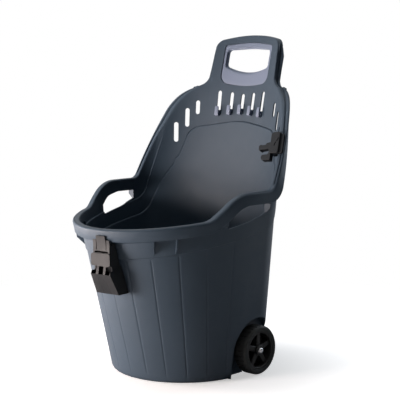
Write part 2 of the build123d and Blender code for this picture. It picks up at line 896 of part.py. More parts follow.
with BuildPart() as front_clip:
    # Pocket body between the tub wall and the front face
    with BuildSketch(clip_profile):
        with BuildLine():
            Polyline(
                (clip_back + upper_grow + slant * clip_top, clip_top),
                (clip_gap + clip_skin, clip_top),
                (clip_gap + clip_skin, clip_flap_low),
                (flap_out, clip_mouth_low),
                (-clip_foot_back, clip_foot),
                (clip_back + slant * clip_foot, clip_foot),
                (clip_back + slant * clip_ledge, clip_ledge),
                (clip_back + ledge_depth + slant * clip_ledge, clip_ledge),
                (clip_back + ledge_depth + slant * clip_step, clip_step),
                (clip_back + upper_grow + slant * clip_step, clip_step),
                close=True,
            )
        make_face()
    extrude(amount=handle_cut, both=True)
    add(body_taper, mode=Mode.INTERSECT)
    add(clip_hollow.part, mode=Mode.SUBTRACT)
    # Raised flap across the middle
    with BuildSketch(clip_face.offset(clip_gap + clip_skin)):
        with Locations((0, (clip_flap_top + clip_flap_low) / 2)):
            RectangleRounded(clip_flap_width, clip_flap_top - clip_flap_low, clip_flap_round)
    extrude(amount=clip_flap_proud)
    # Three mouths below the flap
    with BuildSketch(clip_face.offset(2 * flap_out)):
        with Locations((0, (clip_flap_low + clip_mouth_low) / 2)):
            with GridLocations(clip_mouth_pitch, 1, 3, 1):
                Rectangle(clip_mouth_width, clip_flap_low - clip_mouth_low)
    extrude(amount=clip_gap - clip_mouth_depth - 2 * flap_out, mode=Mode.SUBTRACT)
    # Upper plate in front of the skirt with its tongue, and the hook behind the skirt
    with BuildSketch(clip_profile):
        with BuildLine():
            Polyline(
                (clip_gap + slant * clip_top, clip_top),
                (clip_gap + slant * clip_plate_top, clip_plate_top),
                (clip_gap + slant * clip_plate_top + clip_skin, clip_plate_top),
                (clip_gap + clip_skin, clip_top),
                close=True,
            )
        make_face()
    extrude(amount=clip_plate_width / 2, both=True)
    with BuildSketch(clip_profile):
        with BuildLine():
            Polyline(
                (clip_gap + slant * clip_top, clip_top),
                (clip_gap + slant * tongue_top, tongue_top),
                (clip_gap + slant * tongue_top + clip_skin, tongue_top),
                (clip_gap + clip_skin, clip_top),
                close=True,
            )
        make_face()
    extrude(amount=tongue_width / 2, both=True)
    with BuildSketch(clip_profile):
        with BuildLine():
            hook_out = -skirt_thickness - 3 * clip_gap
            hook_low = clip_top - clip_skin
            Polyline(
                (hook_out + slant * hook_low, hook_low),
                (hook_out + slant * tongue_top, tongue_top),
                (hook_out + slant * tongue_top - clip_skin, tongue_top),
                (hook_out + slant * hook_low - clip_skin, hook_low),
                close=True,
            )
        make_face()
    extrude(amount=tongue_width / 2, both=True)
    # Slits that free the tongue
    with BuildSketch(clip_face.offset(-clip_gap)):
        with GridLocations(tongue_width + tongue_slit, 1, 2, 1):
            Rectangle(tongue_slit, 2 * tongue_slit_depth)
    extrude(amount=handle_cut, mode=Mode.SUBTRACT)

front_clip.part.label = "front_clip"
export_step(front_clip.part, "parts/front_clip.step")

# Wing clip: measured across the rim, along the wing and outward from the rim face
crest_y = wing_start_y + (saddle_height - grip_height) * cos(radians(wing_slope)) / sin(radians(wing_slope))


def wing_x(height, y, grow, rear_grow):
    # Where the flank lies on the wing at one height and depth
    half_width, front_centre, front_reach, rear_centre, rear_reach = flank(height)
    return (half_width + grow) * (1 - ((y - rear_centre) / (rear_reach + rear_grow)) ** 2) ** 0.5


def wing_middle(height):
    # The middle of the rim face on the wing at one height
    y = wing_start_y + (height - grip_height) * cos(radians(wing_slope)) / sin(radians(wing_slope))
    inner = wing_x(height, y, upper_grow - wall, upper_grow - wall)
    outer = wing_x(height, y, rim_overhang, rear_overhang)
    return Vector((inner + outer) / 2, y, height)


saddle_middle = wing_middle(saddle_height)
saddle_top = wing_middle(saddle_height + saddle_length / 2)
saddle_low = wing_middle(saddle_height - saddle_length / 2)
wing_along = (saddle_top - saddle_low).normalized()
wing_out = Vector(0, -sin(radians(wing_slope)), cos(radians(wing_slope)))
wing_across = wing_along.cross(wing_out)
saddle_plane = Plane(saddle_middle, x_dir=wing_across, z_dir=wing_out)
rim_half = (wing_x(saddle_height, crest_y, rim_overhang, rear_overhang)
            - wing_x(saddle_height, crest_y, upper_grow - wall, upper_grow - wall)) / 2

leg_length = saddle_length - 2 * saddle_corner

with BuildPart() as wing_clip_mount:
    with BuildSketch(saddle_plane.offset(fit_gap)):
        with Locations(((saddle_outer - saddle_inner) / 2, 0)):
            RectangleRounded(saddle_outer + saddle_inner, saddle_length, saddle_corner)
    extrude(amount=saddle_rise)
    above = saddle_plane.offset(2 * saddle_rise).origin
    chamfer(wing_clip_mount.faces().sort_by_distance(above)[0].edges(), saddle_bevel)
    with BuildSketch(saddle_plane.offset(fit_gap)):
        with Locations((saddle_outer, 0)):
            Rectangle(saddle_outer - rim_half - saddle_gap, leg_length, align=(Align.MAX, Align.CENTER))
    extrude(amount=-saddle_leg)
    with BuildSketch(saddle_plane.offset(fit_gap)):
        with Locations((-saddle_inner, 0)):
            Rectangle(saddle_inner - rim_half - saddle_gap, leg_length, align=(Align.MIN, Align.CENTER))
    extrude(amount=-saddle_inner_leg)
    # Two small slots in the face
    with BuildSketch(saddle_plane.offset(fit_gap + saddle_rise)):
        with Locations((face_slot_place, face_slot_place), (-face_slot_place, -face_slot_place)):
            SlotOverall(face_slot_length, face_slot_width, rotation=face_slot_turn)
    extrude(amount=-face_slot_depth, mode=Mode.SUBTRACT)
    # Bore for the jaw's peg
    peg_start = saddle_plane.from_local_coords((-saddle_inner, jaw_offset, saddle_rise / 2))
    peg_plane = Plane(peg_start, z_dir=wing_across)
    with BuildSketch(peg_plane.offset(-fit_gap)):
        Circle(peg_radius + running_clearance)
    extrude(amount=peg_length + 2 * fit_gap, mode=Mode.SUBTRACT)

wing_clip_mount.part.label = "wing_clip_mount"
export_step(wing_clip_mount.part, "parts/wing_clip_mount.step")

with BuildPart() as wing_clip_jaw:
    jaw_middle = -jaw_reach
    with BuildSketch(saddle_plane.offset(saddle_rise / 2 - jaw_width / 2)):
        with Locations((jaw_middle, jaw_offset)):
            Circle(jaw_radius + jaw_thickness)
            Circle(jaw_radius, mode=Mode.SUBTRACT)
            Rectangle(3 * jaw_radius, jaw_mouth, align=(Align.MAX, Align.CENTER), mode=Mode.SUBTRACT)
        # Lead-in tips at the mouth, the upper one longer
        with Locations((jaw_middle - jaw_radius - upper_tip_out, jaw_offset + jaw_mouth / 2 + tip_rise)):
            SlotOverall(upper_tip_length, tip_thickness, rotation=-tip_turn)
        with Locations((jaw_middle - jaw_radius + lower_tip_in, jaw_offset - jaw_mouth / 2 - tip_rise)):
            SlotOverall(lower_tip_length, tip_thickness, rotation=tip_turn)
        # Stem toward the saddle
        with Locations((-saddle_inner - fit_gap, jaw_offset)):
            stem_length = jaw_reach - saddle_inner - fit_gap - jaw_radius - jaw_thickness + stem_bite
            Rectangle(stem_length, stem_width, align=(Align.MAX, Align.CENTER))
    extrude(amount=jaw_width)
    with BuildSketch(peg_plane.offset(-fit_gap - peg_root)):
        Circle(peg_radius)
    extrude(amount=peg_length + peg_root)

wing_clip_jaw.part.label = "wing_clip_jaw"
export_step(wing_clip_jaw.part, "parts/wing_clip_jaw.step")
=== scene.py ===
import cmath
from math import cos, pi, radians, sin, tan

import bmesh
import bpy
import numpy as np
from mathutils import Matrix, Vector


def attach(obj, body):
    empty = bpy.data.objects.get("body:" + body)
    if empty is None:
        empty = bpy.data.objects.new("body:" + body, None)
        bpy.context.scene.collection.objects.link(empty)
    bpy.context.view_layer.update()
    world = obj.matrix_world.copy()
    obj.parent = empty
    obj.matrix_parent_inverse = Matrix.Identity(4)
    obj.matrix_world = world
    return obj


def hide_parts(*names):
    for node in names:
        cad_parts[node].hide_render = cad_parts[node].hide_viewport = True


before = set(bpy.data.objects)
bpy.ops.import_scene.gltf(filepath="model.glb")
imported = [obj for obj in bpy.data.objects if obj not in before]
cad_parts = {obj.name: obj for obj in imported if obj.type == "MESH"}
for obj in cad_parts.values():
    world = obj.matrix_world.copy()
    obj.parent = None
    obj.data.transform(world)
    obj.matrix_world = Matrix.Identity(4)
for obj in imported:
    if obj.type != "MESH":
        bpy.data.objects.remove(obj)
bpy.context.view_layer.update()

# Tub
# The body of the cart is one deep polypropylene moulding: a fluted bucket whose wall climbs behind
# into two wings and a handle. A rolled rim with a hanging skirt runs all round and stiffens the edge.

# Sizes in millimetres: half width, front centre, front reach, rear centre, rear reach of the outer wall
foot_sizes = np.array([182.0, 0.0, 182.0, 70.0, 108.0])
waist_sizes = np.array([229.0, 16.0, 315.0, 62.0, 122.0])
bend_sizes = np.array([214.0, 16.0, 315.0, 103.1, 131.2])
crown_sizes = np.array([205.2, 16.0, 315.0, 138.8, 136.7])
waist_height = 430.0
bend_height = 704.0
crown_height = 865.0
waist_soft = 22.0
bend_soft = 12.0
side_turn = 0.35
whole_turn = 2 * pi + 2 * side_turn
wall = 3.5
floor_thickness = 4.5
foot_round = 13.0
floor_round = 10.0

# Growth of each size per millimetre of height on the bucket, the back and the handle
low_rise = (waist_sizes - foot_sizes) / waist_height
back_rise = (bend_sizes - waist_sizes) / (bend_height - waist_height)
handle_rise = (crown_sizes - bend_sizes) / (crown_height - bend_height)


def past(height, start, soft):
    # How far a height lies past a bend that begins softly
    over = height - start
    return np.where(over > soft, over, np.clip(over + soft, 0, None) ** 2 / (4 * soft))


def flank(height):
    # Plan sizes of the outer wall at one height, bending at the waist and below the handle
    waist = past(height, waist_height, waist_soft)
    bend = past(height, bend_height, bend_soft)
    return [
        foot + low * height + (back - low) * waist + (handle - back) * bend
        for foot, low, back, handle in zip(foot_sizes, low_rise, back_rise, handle_rise)
    ]


def wall_point(turn, height, grow):
    # A place on the wall: turn runs from the left side round the front, the right side and the back
    half, front_y, front_reach, rear_y, rear_reach = flank(height)
    turn = np.mod(turn, whole_turn)
    ends = [turn <= pi, turn <= pi + side_turn, turn <= 2 * pi + side_turn]
    rear = turn - pi - side_turn
    left = (whole_turn - turn) / side_turn
    x = np.select(
        ends,
        [-(half + grow) * np.cos(turn), half + grow, (half + grow) * np.cos(rear)],
        -(half + grow),
    )
    y = np.select(
        ends,
        [
            front_y - (front_reach + grow) * np.sin(turn),
            front_y + (rear_y - front_y) * (turn - pi) / side_turn,
            rear_y + (rear_reach + grow) * np.sin(rear),
        ],
        front_y + (rear_y - front_y) * left,
    )
    return np.stack([x, y, height + 0 * x], axis=-1)


def rounded(points, radii, closed=False, steps=10):
    # A line through points, with each corner turned into an arc
    corners = [complex(*point) for point in points]
    count = len(corners)
    spots = range(count) if closed else range(1, count - 1)
    line = [] if closed else [corners[0]]
    for spot, radius in zip(spots, radii):
        corner = corners[spot]
        back = corners[spot - 1] - corner
        back /= abs(back)
        ahead = corners[(spot + 1) % count] - corner
        bend = cmath.phase(-ahead / back)
        start = corner + back * radius * tan(abs(bend) / 2)
        centre = start - 1j * back * radius * np.sign(bend)
        for step in range(steps + 1):
            line.append(centre + (start - centre) * cmath.exp(1j * bend * step / steps))
    if not closed:
        line.append(corners[-1])
    return np.array([(place.real, place.imag) for place in line])


def lower_of(one, other, soft):
    # The lower of two heights, passing softly from one to the other
    near = np.clip(soft - abs(one - other), 0, None)
    return np.minimum(one, other) - near ** 2 / (4 * soft)


# Rim line: from the side it rises from the low front over the grips to the wings, and from the front
# it closes over the wings and the handle
grip_crest = 466.0
wing_foot = 62.0
wing_slope = radians(62.3)
wing_run = 300.0
wing_end = wing_foot + wing_run * cos(wing_slope)
rim_blend = 40.0
rim_side = rounded(
    [(-400, 375), (-133, 405), (-59, grip_crest), (wing_foot, grip_crest),
     (wing_end, grip_crest + wing_run * sin(wing_slope)), (wing_end + 1, 1500)],
    [50, 105, 24, 1],
)
rim_front = rounded(
    [(320, 310.5), (226, 621), (205, 681), (114, 723.6), (107.5, 833.2), (0, 854.15), (-107.5, 833.2)],
    [75, 75, 30, 26, 380],
)[::-1]


def rim_height(x, y):
    # Height of the rim line above a place in plan
    side = np.interp(y, rim_side[:, 0], rim_side[:, 1])
    front = np.interp(abs(x), rim_front[:, 0], rim_front[:, 1])
    return lower_of(side, front, rim_blend)


# Two shoulders inside the wall: the lower one climbs the back and closes in an arch under the slots
step_depth = 3.0
step_bend = (80.0, 413.0)
step_run = 160.0
step_climb = step_run * tan(radians(72))
step_line = rounded([(-400, 332), step_bend, (step_bend[0] + step_run, step_bend[1] + step_climb)], [45])
ledge_depth = 2.5
ledge_blend = 50.0
ledge_line = rounded([(-400, 291), (88, 373), (150, 515), (152, 1500)], [60, 20])
ledge_arch = rounded([(320, 373), (168, 522), (146, 600), (0, 622), (-146, 600)], [30, 40, 240])[::-1]


def step_height(x, y):
    # Height of the upper shoulder above a place in plan
    return np.interp(y, step_line[:, 0], step_line[:, 1])


def ledge_height(x, y):
    # Height of the lower shoulder above a place in plan
    side = np.interp(y, ledge_line[:, 0], ledge_line[:, 1])
    arch = np.interp(abs(x), ledge_arch[:, 0], ledge_arch[:, 1])
    return lower_of(side, arch, ledge_blend)


def crossing(turn, limit):
    # The height at which the wall meets a line, found by halving the gap between two heights
    low = np.full_like(turn, floor_thickness)
    high = np.full_like(turn, crown_height)
    for halving in range(40):
        halfway = (low + high) / 2
        place = wall_point(turn, halfway, 0)
        below = halfway < limit(place[..., 0], place[..., 1])
        low = np.where(below, halfway, low)
        high = np.where(below, high, halfway)
    return low


def smooth_step(value, low, high):
    # Rises softly from nought to one between two values
    share = np.clip((value - low) / (high - low), 0, 1)
    return share * share * (3 - 2 * share)


def unit(vectors):
    # Vectors brought to a length of one
    return vectors / np.linalg.norm(vectors, axis=-1, keepdims=True)


def plan_speed(turn, height):
    # Length along the wall for one unit of turn
    nudge = 0.001
    ahead = wall_point(turn + nudge, height, 0) - wall_point(turn - nudge, height, 0)
    return np.linalg.norm(ahead, axis=-1) / (2 * nudge)


# Columns of the wall lie evenly along the rim, with closer ones at each flute
rim_columns = 560
flute_half = 2.9
flute_depth = 1.0
flute_clear = 5.0
flute_offsets = np.array([-3.4, -2.2, -1.1, 0, 1.1, 2.2, 3.4])
flute_step = radians(15.5)
front_flutes = 5
rear_flutes = 3
flute_turns = [
    centre + number * flute_step
    for centre, count in ((pi / 2, front_flutes), (3 * pi / 2 + side_turn, rear_flutes))
    for number in range(-count, count + 1)
]

fine_turn = np.linspace(0, whole_turn, 6001)
fine_line = wall_point(fine_turn, crossing(fine_turn, rim_height), 0)
fine_length = np.concatenate([[0], np.cumsum(np.linalg.norm(np.diff(fine_line, axis=0), axis=1))])
columns = np.interp(np.linspace(0, fine_length[-1], rim_columns, endpoint=False), fine_length, fine_turn)
for flute in flute_turns:
    flute_speed = plan_speed(np.array(flute), waist_height / 2)
    apart = abs(columns - flute) * flute_speed
    columns = np.concatenate([columns[apart > flute_clear], flute + flute_offsets / flute_speed])
columns = np.sort(columns)

flutes = np.zeros_like(columns)
for flute in flute_turns:
    apart = abs(columns - flute) * plan_speed(np.array(flute), waist_height / 2)
    flutes += flute_depth * np.cos(np.clip(apart / flute_half, 0, 1) * pi / 2) ** 2

# Lines on each column: the rim, the upper shoulder, which fades out up the wings, and the lower one
rim_clear = 12.0
shoulder_gap = 20.0
rim = crossing(columns, rim_height)
rim_place = wall_point(columns, rim, 0)
rim_along = unit(np.roll(rim_place, -1, axis=0) - np.roll(rim_place, 1, axis=0))
level = np.linalg.norm(rim_along[:, :2], axis=1)
rim_margin = np.clip(rim_clear / level, rim_clear, 5 * rim_clear)
step = np.minimum(crossing(columns, step_height), rim - rim_margin - rim_clear)
ledge = np.minimum(crossing(columns, ledge_height), step - shoulder_gap)
step_share = (1 - smooth_step(step, 490, 600)) * (1 - smooth_step(rim, 640, 680))


def slope_along(heights):
    # How steeply a line on the wall climbs, as a factor on its upright width
    rise = np.roll(heights, -1) - np.roll(heights, 1)
    here = wall_point(columns, heights, 0)[:, :2]
    run = np.linalg.norm(np.roll(here, -1, axis=0) - np.roll(here, 1, axis=0), axis=1)
    return np.sqrt(1 + (rise / run) ** 2)


# Each shoulder is a short slope of limited upright width, and a narrow crease runs inside above the ledge
shoulder_half = 0.8
ledge_widest = 16.0
step_widest = 9.0
crease_narrow = 1.8
crease_room = 10.0
ledge_slope = slope_along(ledge)
ledge_zone = np.clip(shoulder_half * ledge_slope, 0, ledge_widest)
step_zone = np.clip(shoulder_half * slope_along(step), 0, step_widest)
crease_width = np.minimum(crease_narrow * np.clip(ledge_slope, 1, 2.5),
                          np.clip(crease_room - ledge_zone, 0.3, 9))
crease_depth = 2.3 * smooth_step(crease_width, 1.0, 1.6)

# Rows of the wall from the foot up: height, share of the flutes, growth outward, crease on the inside
rows = []


def rows_up_to(height, count, fluted=0.0, grow=0.0, crease=0.0):
    # Even rows from the last one up to a height
    start = rows[-1][0]
    for number in range(1, count + 1):
        rows.append((start + (height - start) * number / count, fluted, grow, crease))


def shoulder(height, zone, depth, grow):
    # Rows through a soft step outward
    for share in np.linspace(-1, 1, 7):
        rows.append((height + share * zone, 0.0, grow + depth * smooth_step(share, -1, 1), 0.0))


lowest_row = 20.0
flute_low = 26.0
flute_run_out = 4.0
flute_top = np.minimum(ledge - ledge_zone - 2 * flute_run_out, waist_height - 9)
rows.append((0 * columns + lowest_row, 0.0, 0.0, 0.0))
rows_up_to(0 * columns + flute_low, 1, fluted=1.0)
rows_up_to(flute_top, 8, fluted=1.0)
rows_up_to(flute_top + flute_run_out, 1)
rows_up_to(ledge - ledge_zone - 1, 6)
shoulder(ledge, ledge_zone, ledge_depth, 0.0)
for share, creased in ((0.12, 1), (0.88, 1), (1, 0)):
    crease_row = ledge + ledge_zone + share * crease_width
    rows_up_to(crease_row, 1, grow=ledge_depth, crease=creased * crease_depth)
rows_up_to(step - step_zone - 1, 5, grow=ledge_depth)
shoulder(step, step_zone, step_depth * step_share, ledge_depth)
top_grow = ledge_depth + step_depth * step_share
rows_up_to(rim - rim_margin, 3, grow=top_grow)

outer_rows = [wall_point(columns, height, grow - share * flutes) for height, share, grow, crease in rows]
inner_rows = [wall_point(columns, height, grow - wall + crease) for height, share, grow, crease in rows]
quarter = np.linspace(0, pi / 2, 7)
foot_rows = [
    wall_point(columns, 0 * columns + foot_round * (1 - cos(angle)), -foot_round * (1 - sin(angle)))
    for angle in quarter
]
floor_rows = [
    wall_point(columns, 0 * columns + floor_thickness + floor_round * (1 - cos(angle)),
               -wall - floor_round * (1 - sin(angle)))
    for angle in quarter
]

# Rolled rim: a section carried round the edge, across the cut of the rim and down along the wall
probe = 3.0
turn_probe = 0.002
rise_probe = 2.0
rim_x, rim_y = rim_place[:, 0], rim_place[:, 1]
slope_x = (rim_height(rim_x + probe, rim_y) - rim_height(rim_x - probe, rim_y)) / (2 * probe)
slope_y = (rim_height(rim_x, rim_y + probe) - rim_height(rim_x, rim_y - probe)) / (2 * probe)
rim_up = unit(np.stack([-slope_x, -slope_y, np.ones_like(rim)], axis=-1))
wall_ahead = wall_point(columns + turn_probe, rim, 0) - wall_point(columns - turn_probe, rim, 0)
wall_rise = wall_point(columns, rim + rise_probe, 0) - wall_point(columns, rim - rise_probe, 0)
wall_out = unit(np.cross(wall_ahead, wall_rise))
rim_out = unit(np.cross(rim_along, rim_up))
rim_out *= np.sign(np.sum(rim_out * wall_out, axis=1))[:, None]
rim_down = unit(np.cross(wall_out, rim_along))
rim_down *= -np.sign(np.sum(rim_down * rim_up, axis=1))[:, None]
spread = 1 / np.clip(np.sum(rim_out * wall_out, axis=1), 0.6, 1)

# A groove follows the top of the rim along the wings and the handle, and the outer edge of the handle
# stands up in a lip
overhang = 19.5 + 0 * rim
skirt_depth = 30 + 0 * rim
skirt_thickness = 3.0
web_thickness = 4.0
rim_round = 5.5
inner_round = 3.5
lip_height = 10.5
lip_crest = 3.5
inside = top_grow - wall
skirt_in = overhang - skirt_thickness
lip_start = inside + 12.8
groove = smooth_step(rim, 474, 490) * (1 - smooth_step(rim, 812, 832))
lip = lip_height * smooth_step(rim, 712, 745) * (1 - smooth_step(rim, 795, 833))
lip += lip_crest * np.exp(-((rim - 797) / 12) ** 2)
section = [
    (top_grow, 7.5),
    (top_grow + 0.9, web_thickness + 1),
    (top_grow + 3, web_thickness),
    (skirt_in - 3, web_thickness),
    (skirt_in - 0.9, web_thickness + 1),
    (skirt_in, 7.5),
    (skirt_in, skirt_depth / 2),
    (skirt_in, skirt_depth - 1),
    (skirt_in + 0.5, skirt_depth),
    (overhang - 0.9, skirt_depth),
    (overhang, skirt_depth - 1.2),
    (overhang, skirt_depth / 2),
]
section += [
    (overhang - rim_round * (1 - cos(angle)), rim_round * (1 - sin(angle)))
    for angle in np.linspace(0, pi / 2, 8)
]
section += [
    (inside + 13.2, 0.0),
    (inside + 12.5, 2 * groove),
    (inside + 12.2, 7 * groove),
    (inside + 9.3, 7 * groove),
    (inside + 9.0, 3 * groove),
    (inside + 8.0, 1.0 * groove),
    (inside + 5.5, 0.0),
]
section += [
    (inside + inner_round * (1 - sin(angle)), inner_round * (1 - cos(angle)))
    for angle in np.linspace(0, pi / 2, 6)
]
rim_rows = []
for over, down in section:
    flared = down - lip * np.clip((over - lip_start) / (overhang - lip_start), 0, 1)
    rim_rows.append(rim_place + (over * spread)[:, None] * rim_out + flared[:, None] * rim_down)

# One millimetre in metres
MM = 0.001


def hoop_mesh(hoops):
    # A closed skin through hoops of points, each hoop running once round the tub
    grid = np.stack(hoops)
    grid = np.concatenate([grid, grid[:, :1]], axis=1)
    mesh = bmesh.new()
    bmesh.ops.create_grid(mesh, x_segments=grid.shape[1] - 1, y_segments=grid.shape[0] - 1, size=1)
    for vert, place in zip(mesh.verts, grid.reshape(-1, 3)):
        vert.co = place
    bmesh.ops.remove_doubles(mesh, verts=mesh.verts, dist=0.02)
    bmesh.ops.recalc_face_normals(mesh, faces=mesh.faces)
    return mesh


def as_object(name, mesh):
    # The finished mesh, drawn in millimetres, as an object in metres
    bmesh.ops.scale(mesh, verts=mesh.verts, vec=(MM, MM, MM))
    data = bpy.data.meshes.new(name)
    mesh.to_mesh(data)
    mesh.free()
    piece = bpy.data.objects.new(name, data)
    bpy.context.scene.collection.objects.link(piece)
    return piece


def middle(height):
    # A hoop drawn together to one point in the middle of the foot
    return np.broadcast_to(np.array([0.0, 0.0, height]), rim_place.shape)


tub_hoops = [middle(0)] + foot_rows + outer_rows + rim_rows
tub_hoops += inner_rows[::-1] + floor_rows[::-1] + [middle(floor_thickness)]
tub = as_object("tub_moulding", hoop_mesh(tub_hoops))

# The bucket as a solid core, a little inside its outer face, that trims the linings of the wells
core_inset = 0.6
core_top = 230.0
core_rows = [
    wall_point(columns, 0 * columns + height, -core_inset)
    for height in np.linspace(core_inset, core_top, 40)
]
core = hoop_mesh([middle(core_inset)] + core_rows + [middle(core_top)])

rightward, backward, upward = (1, 0, 0), (0, 1, 0), (0, 0, 1)


def turned_prism(outline, origin, across, up, depth):
    # An outline drawn across and up from an origin, pulled out square to both
    mesh = bmesh.new()
    face = mesh.faces.new([mesh.verts.new((a, b, 0)) for a, b in outline])
    pulled = bmesh.ops.extrude_face_region(mesh, geom=[face])["geom"]
    ends = [vert for vert in pulled if isinstance(vert, bmesh.types.BMVert)]
    bmesh.ops.translate(mesh, verts=ends, vec=(0, 0, depth))
    across = Vector(across).normalized()
    up = Vector(up).normalized()
    out = across.cross(up)
    place = Matrix((across, up, out)).transposed().to_4x4()
    place.translation = Vector(origin)
    bmesh.ops.transform(mesh, matrix=place, verts=mesh.verts)
    bmesh.ops.recalc_face_normals(mesh, faces=mesh.faces)
    return mesh


def arc(centre, radius, sweep, steps):
    # Points along part of a circle, from its right-hand side round over the top
    return [
        (centre[0] + radius * cos(sweep * step / steps), centre[1] + radius * sin(sweep * step / steps))
        for step in range(steps + 1)
    ]


def circle(centre, radius):
    return arc(centre, radius, 2 * pi, 64)[:-1]


def arch(centre, radius, low):
    # Half a circle standing on two straight legs
    return arc(centre, radius, pi, 40) + [(centre[0] - radius, low), (centre[0] + radius, low)]


# Spaces under the tub. Forms that cut right through reach past it on both sides
axle_y = 61.0
axle_z = 62.5
well_radius = 82.0
well_inner = 154.0
well_length = 200.0
heel_start = 112.0
heel_slope = radians(30)
heel_run = 300.0
tunnel_half = 10.0
below_foot = -50.0
reach = 300.0


def underside(skin):
    # Two wheel wells, the axle tunnel and the heel, all thickened by skin
    well = arch((axle_y, axle_z), well_radius + skin, below_foot)
    tunnel = arch((axle_y, axle_z), tunnel_half + skin, below_foot)
    lift = skin / cos(heel_slope)
    heel = [(heel_start, below_foot), (heel_start, lift),
            (heel_start + heel_run, lift + heel_run * tan(heel_slope)), (heel_start + heel_run, below_foot)]
    start = well_inner - skin
    return [
        turned_prism(well, (start, 0, 0), backward, upward, well_length),
        turned_prism(well, (-start - well_length, 0, 0), backward, upward, well_length),
        turned_prism(tunnel, (-well_inner, 0, 0), backward, upward, 2 * well_inner),
        turned_prism(heel, (-reach, 0, 0), backward, upward, 2 * reach),
    ]


def back_y(x, height, grow):
    # Place of the back wall
    half, front_centre, front_reach, rear_centre, rear_reach = flank(height)
    return rear_centre + (rear_reach + grow) * np.sqrt(1 - (x / (half + grow)) ** 2)


def front_y(x, height, grow):
    # Place of the front wall
    half, front_centre, front_reach, rear_centre, rear_reach = flank(height)
    return front_centre - (front_reach + grow) * np.sqrt(1 - (x / (half + grow)) ** 2)


def back_turn(x, height):
    # How far the back wall has turned from straight ahead
    return np.arctan((back_y(x - 1, height, 0) - back_y(x + 1, height, 0)) / 2)


def front_turn(x, height, grow):
    # How far the front wall has turned from straight ahead
    return np.arctan((front_y(x + 1, height, grow) - front_y(x - 1, height, grow)) / 2)


# Openings: tool slots as distance from the middle, foot and top, the two grips, the hand opening, the axle
slot_width = 12.0
slot_reach = 24.0
hook_slots = [(0.0, 650.0, 692.0), (36.5, 648.0, 696.0), (74.0, 645.0, 700.0)]
tool_slots = [(132.0, 636.0, 673.0), (155.0, 602.0, 652.0), (177.0, 561.0, 614.0)]
openings = []
for x, low, high in hook_slots + tool_slots:
    for side in (1, -1) if x else (1,):
        turn = side * back_turn(x, low)
        away = np.array([sin(turn), cos(turn), 0])
        seat = np.array([side * x, back_y(x, low, 0), low])
        half = slot_width / 2
        outline = rounded([(half, 0), (half, high - low), (-half, high - low), (-half, 0)],
                          [half - 0.05] * 4, closed=True)
        openings.append(turned_prism(outline, seat - slot_reach * away, (-away[1], away[0], 0), upward,
                                     2 * slot_reach))

grip_outline = rounded(
    [(-75, 381), (-4, 395), (49.5, 414), (49.5, 434.5), (-12, 434.8), (-52, 426.5), (-75, 405)],
    [4, 120, 6, 6, 60, 45, 4], closed=True)
openings.append(turned_prism(grip_outline, (-reach, 0, 0), backward, upward, 2 * reach))

insert_outline = rounded(
    [(81, 821), (81, 721.5), (0, 709), (-81, 721.5), (-81, 821), (0, 829.9)],
    [8, 25, 300, 25, 8, 400], closed=True)
insert_room = [1.006, 1]
handle_front = 100.0
openings.append(turned_prism(insert_outline * insert_room, (0, handle_front, 0), rightward, upward, -reach))
axle_bore = 5.05
axle_hole = circle((axle_y, axle_z), axle_bore)
openings.append(turned_prism(axle_hole, (-reach, 0, 0), backward, upward, 2 * reach))

# Stiffeners: bosses for the axle, rib pairs under the front rim, plates at the rear of the grips
boss_radius = 13.0
boss_root = well_inner - 3
boss_end = 168.8
rib_middle = 142.0
rib_apart = 17.1
rib_height = 356.0
rib_outline = [(0, 22), (18, 22), (18, 0), (16, -10), (-5, -30)]
rib_thickness = 2.6
plate_outline = [(229, 408), (247, 424), (247, 463), (229, 463)]
plate_y = 45.0
plate_thickness = 3.0
additions = []
plates = []
for side in (1, -1):
    start = boss_root if side > 0 else -boss_end
    boss = circle((axle_y, axle_z), boss_radius)
    additions.append(turned_prism(boss, (start, 0, 0), backward, upward, boss_end - boss_root))
    for x in (rib_middle + rib_apart, rib_middle - rib_apart):
        turn = front_turn(x, rib_height, 0)
        away = np.array([side * sin(turn), -cos(turn), 0])
        seat = np.array([side * x, front_y(x, rib_height, 0), rib_height])
        along = np.array([-away[1], away[0], 0])
        additions.append(turned_prism(rib_outline, seat - rib_thickness / 2 * along, away, upward,
                                      rib_thickness))
    plate = [(side * x, height) for x, height in plate_outline]
    plates.append(turned_prism(plate, (0, plate_y, 0), rightward, upward, -plate_thickness))


def shape_with(piece, mesh, operation):
    # One step of the moulding: the piece is joined with, cut by or kept inside a second form
    tool = as_object("tool", mesh)
    step = piece.modifiers.new("step", "BOOLEAN")
    step.operation = operation
    step.solver = "MANIFOLD"
    step.object = tool


def settle(piece):
    # Fixes the steps in the mesh and clears away the forms that were used
    bpy.context.view_layer.update()
    shaped = bpy.data.meshes.new_from_object(piece.evaluated_get(bpy.context.evaluated_depsgraph_get()))
    used = [step.object for step in piece.modifiers]
    piece.modifiers.clear()
    piece.data = shaped
    for tool in used:
        bpy.data.objects.remove(tool)


# The spaces are lined first, each lining kept inside the bucket, and then hollowed out
for thickened in underside(wall):
    well_skin = as_object("well_skin", thickened)
    shape_with(well_skin, core.copy(), "INTERSECT")
    settle(well_skin)
    lining = bmesh.new()
    lining.from_mesh(well_skin.data)
    bmesh.ops.scale(lining, verts=lining.verts, vec=(1 / MM, 1 / MM, 1 / MM))
    bpy.data.objects.remove(well_skin)
    shape_with(tub, lining, "UNION")
core.free()
for forms, operation in ((underside(0), "DIFFERENCE"), (additions, "UNION"), (openings, "DIFFERENCE"),
                         (plates, "UNION")):
    for form in forms:
        shape_with(tub, form, operation)
settle(tub)


def finish_surface(piece, material):
    # Smooth shading that breaks at real edges, and the piece's material
    piece.data.polygons.foreach_set("use_smooth", [True] * len(piece.data.polygons))
    piece.data.set_sharp_from_angle(angle=radians(35))
    piece.data.materials.clear()
    piece.data.materials.append(material)


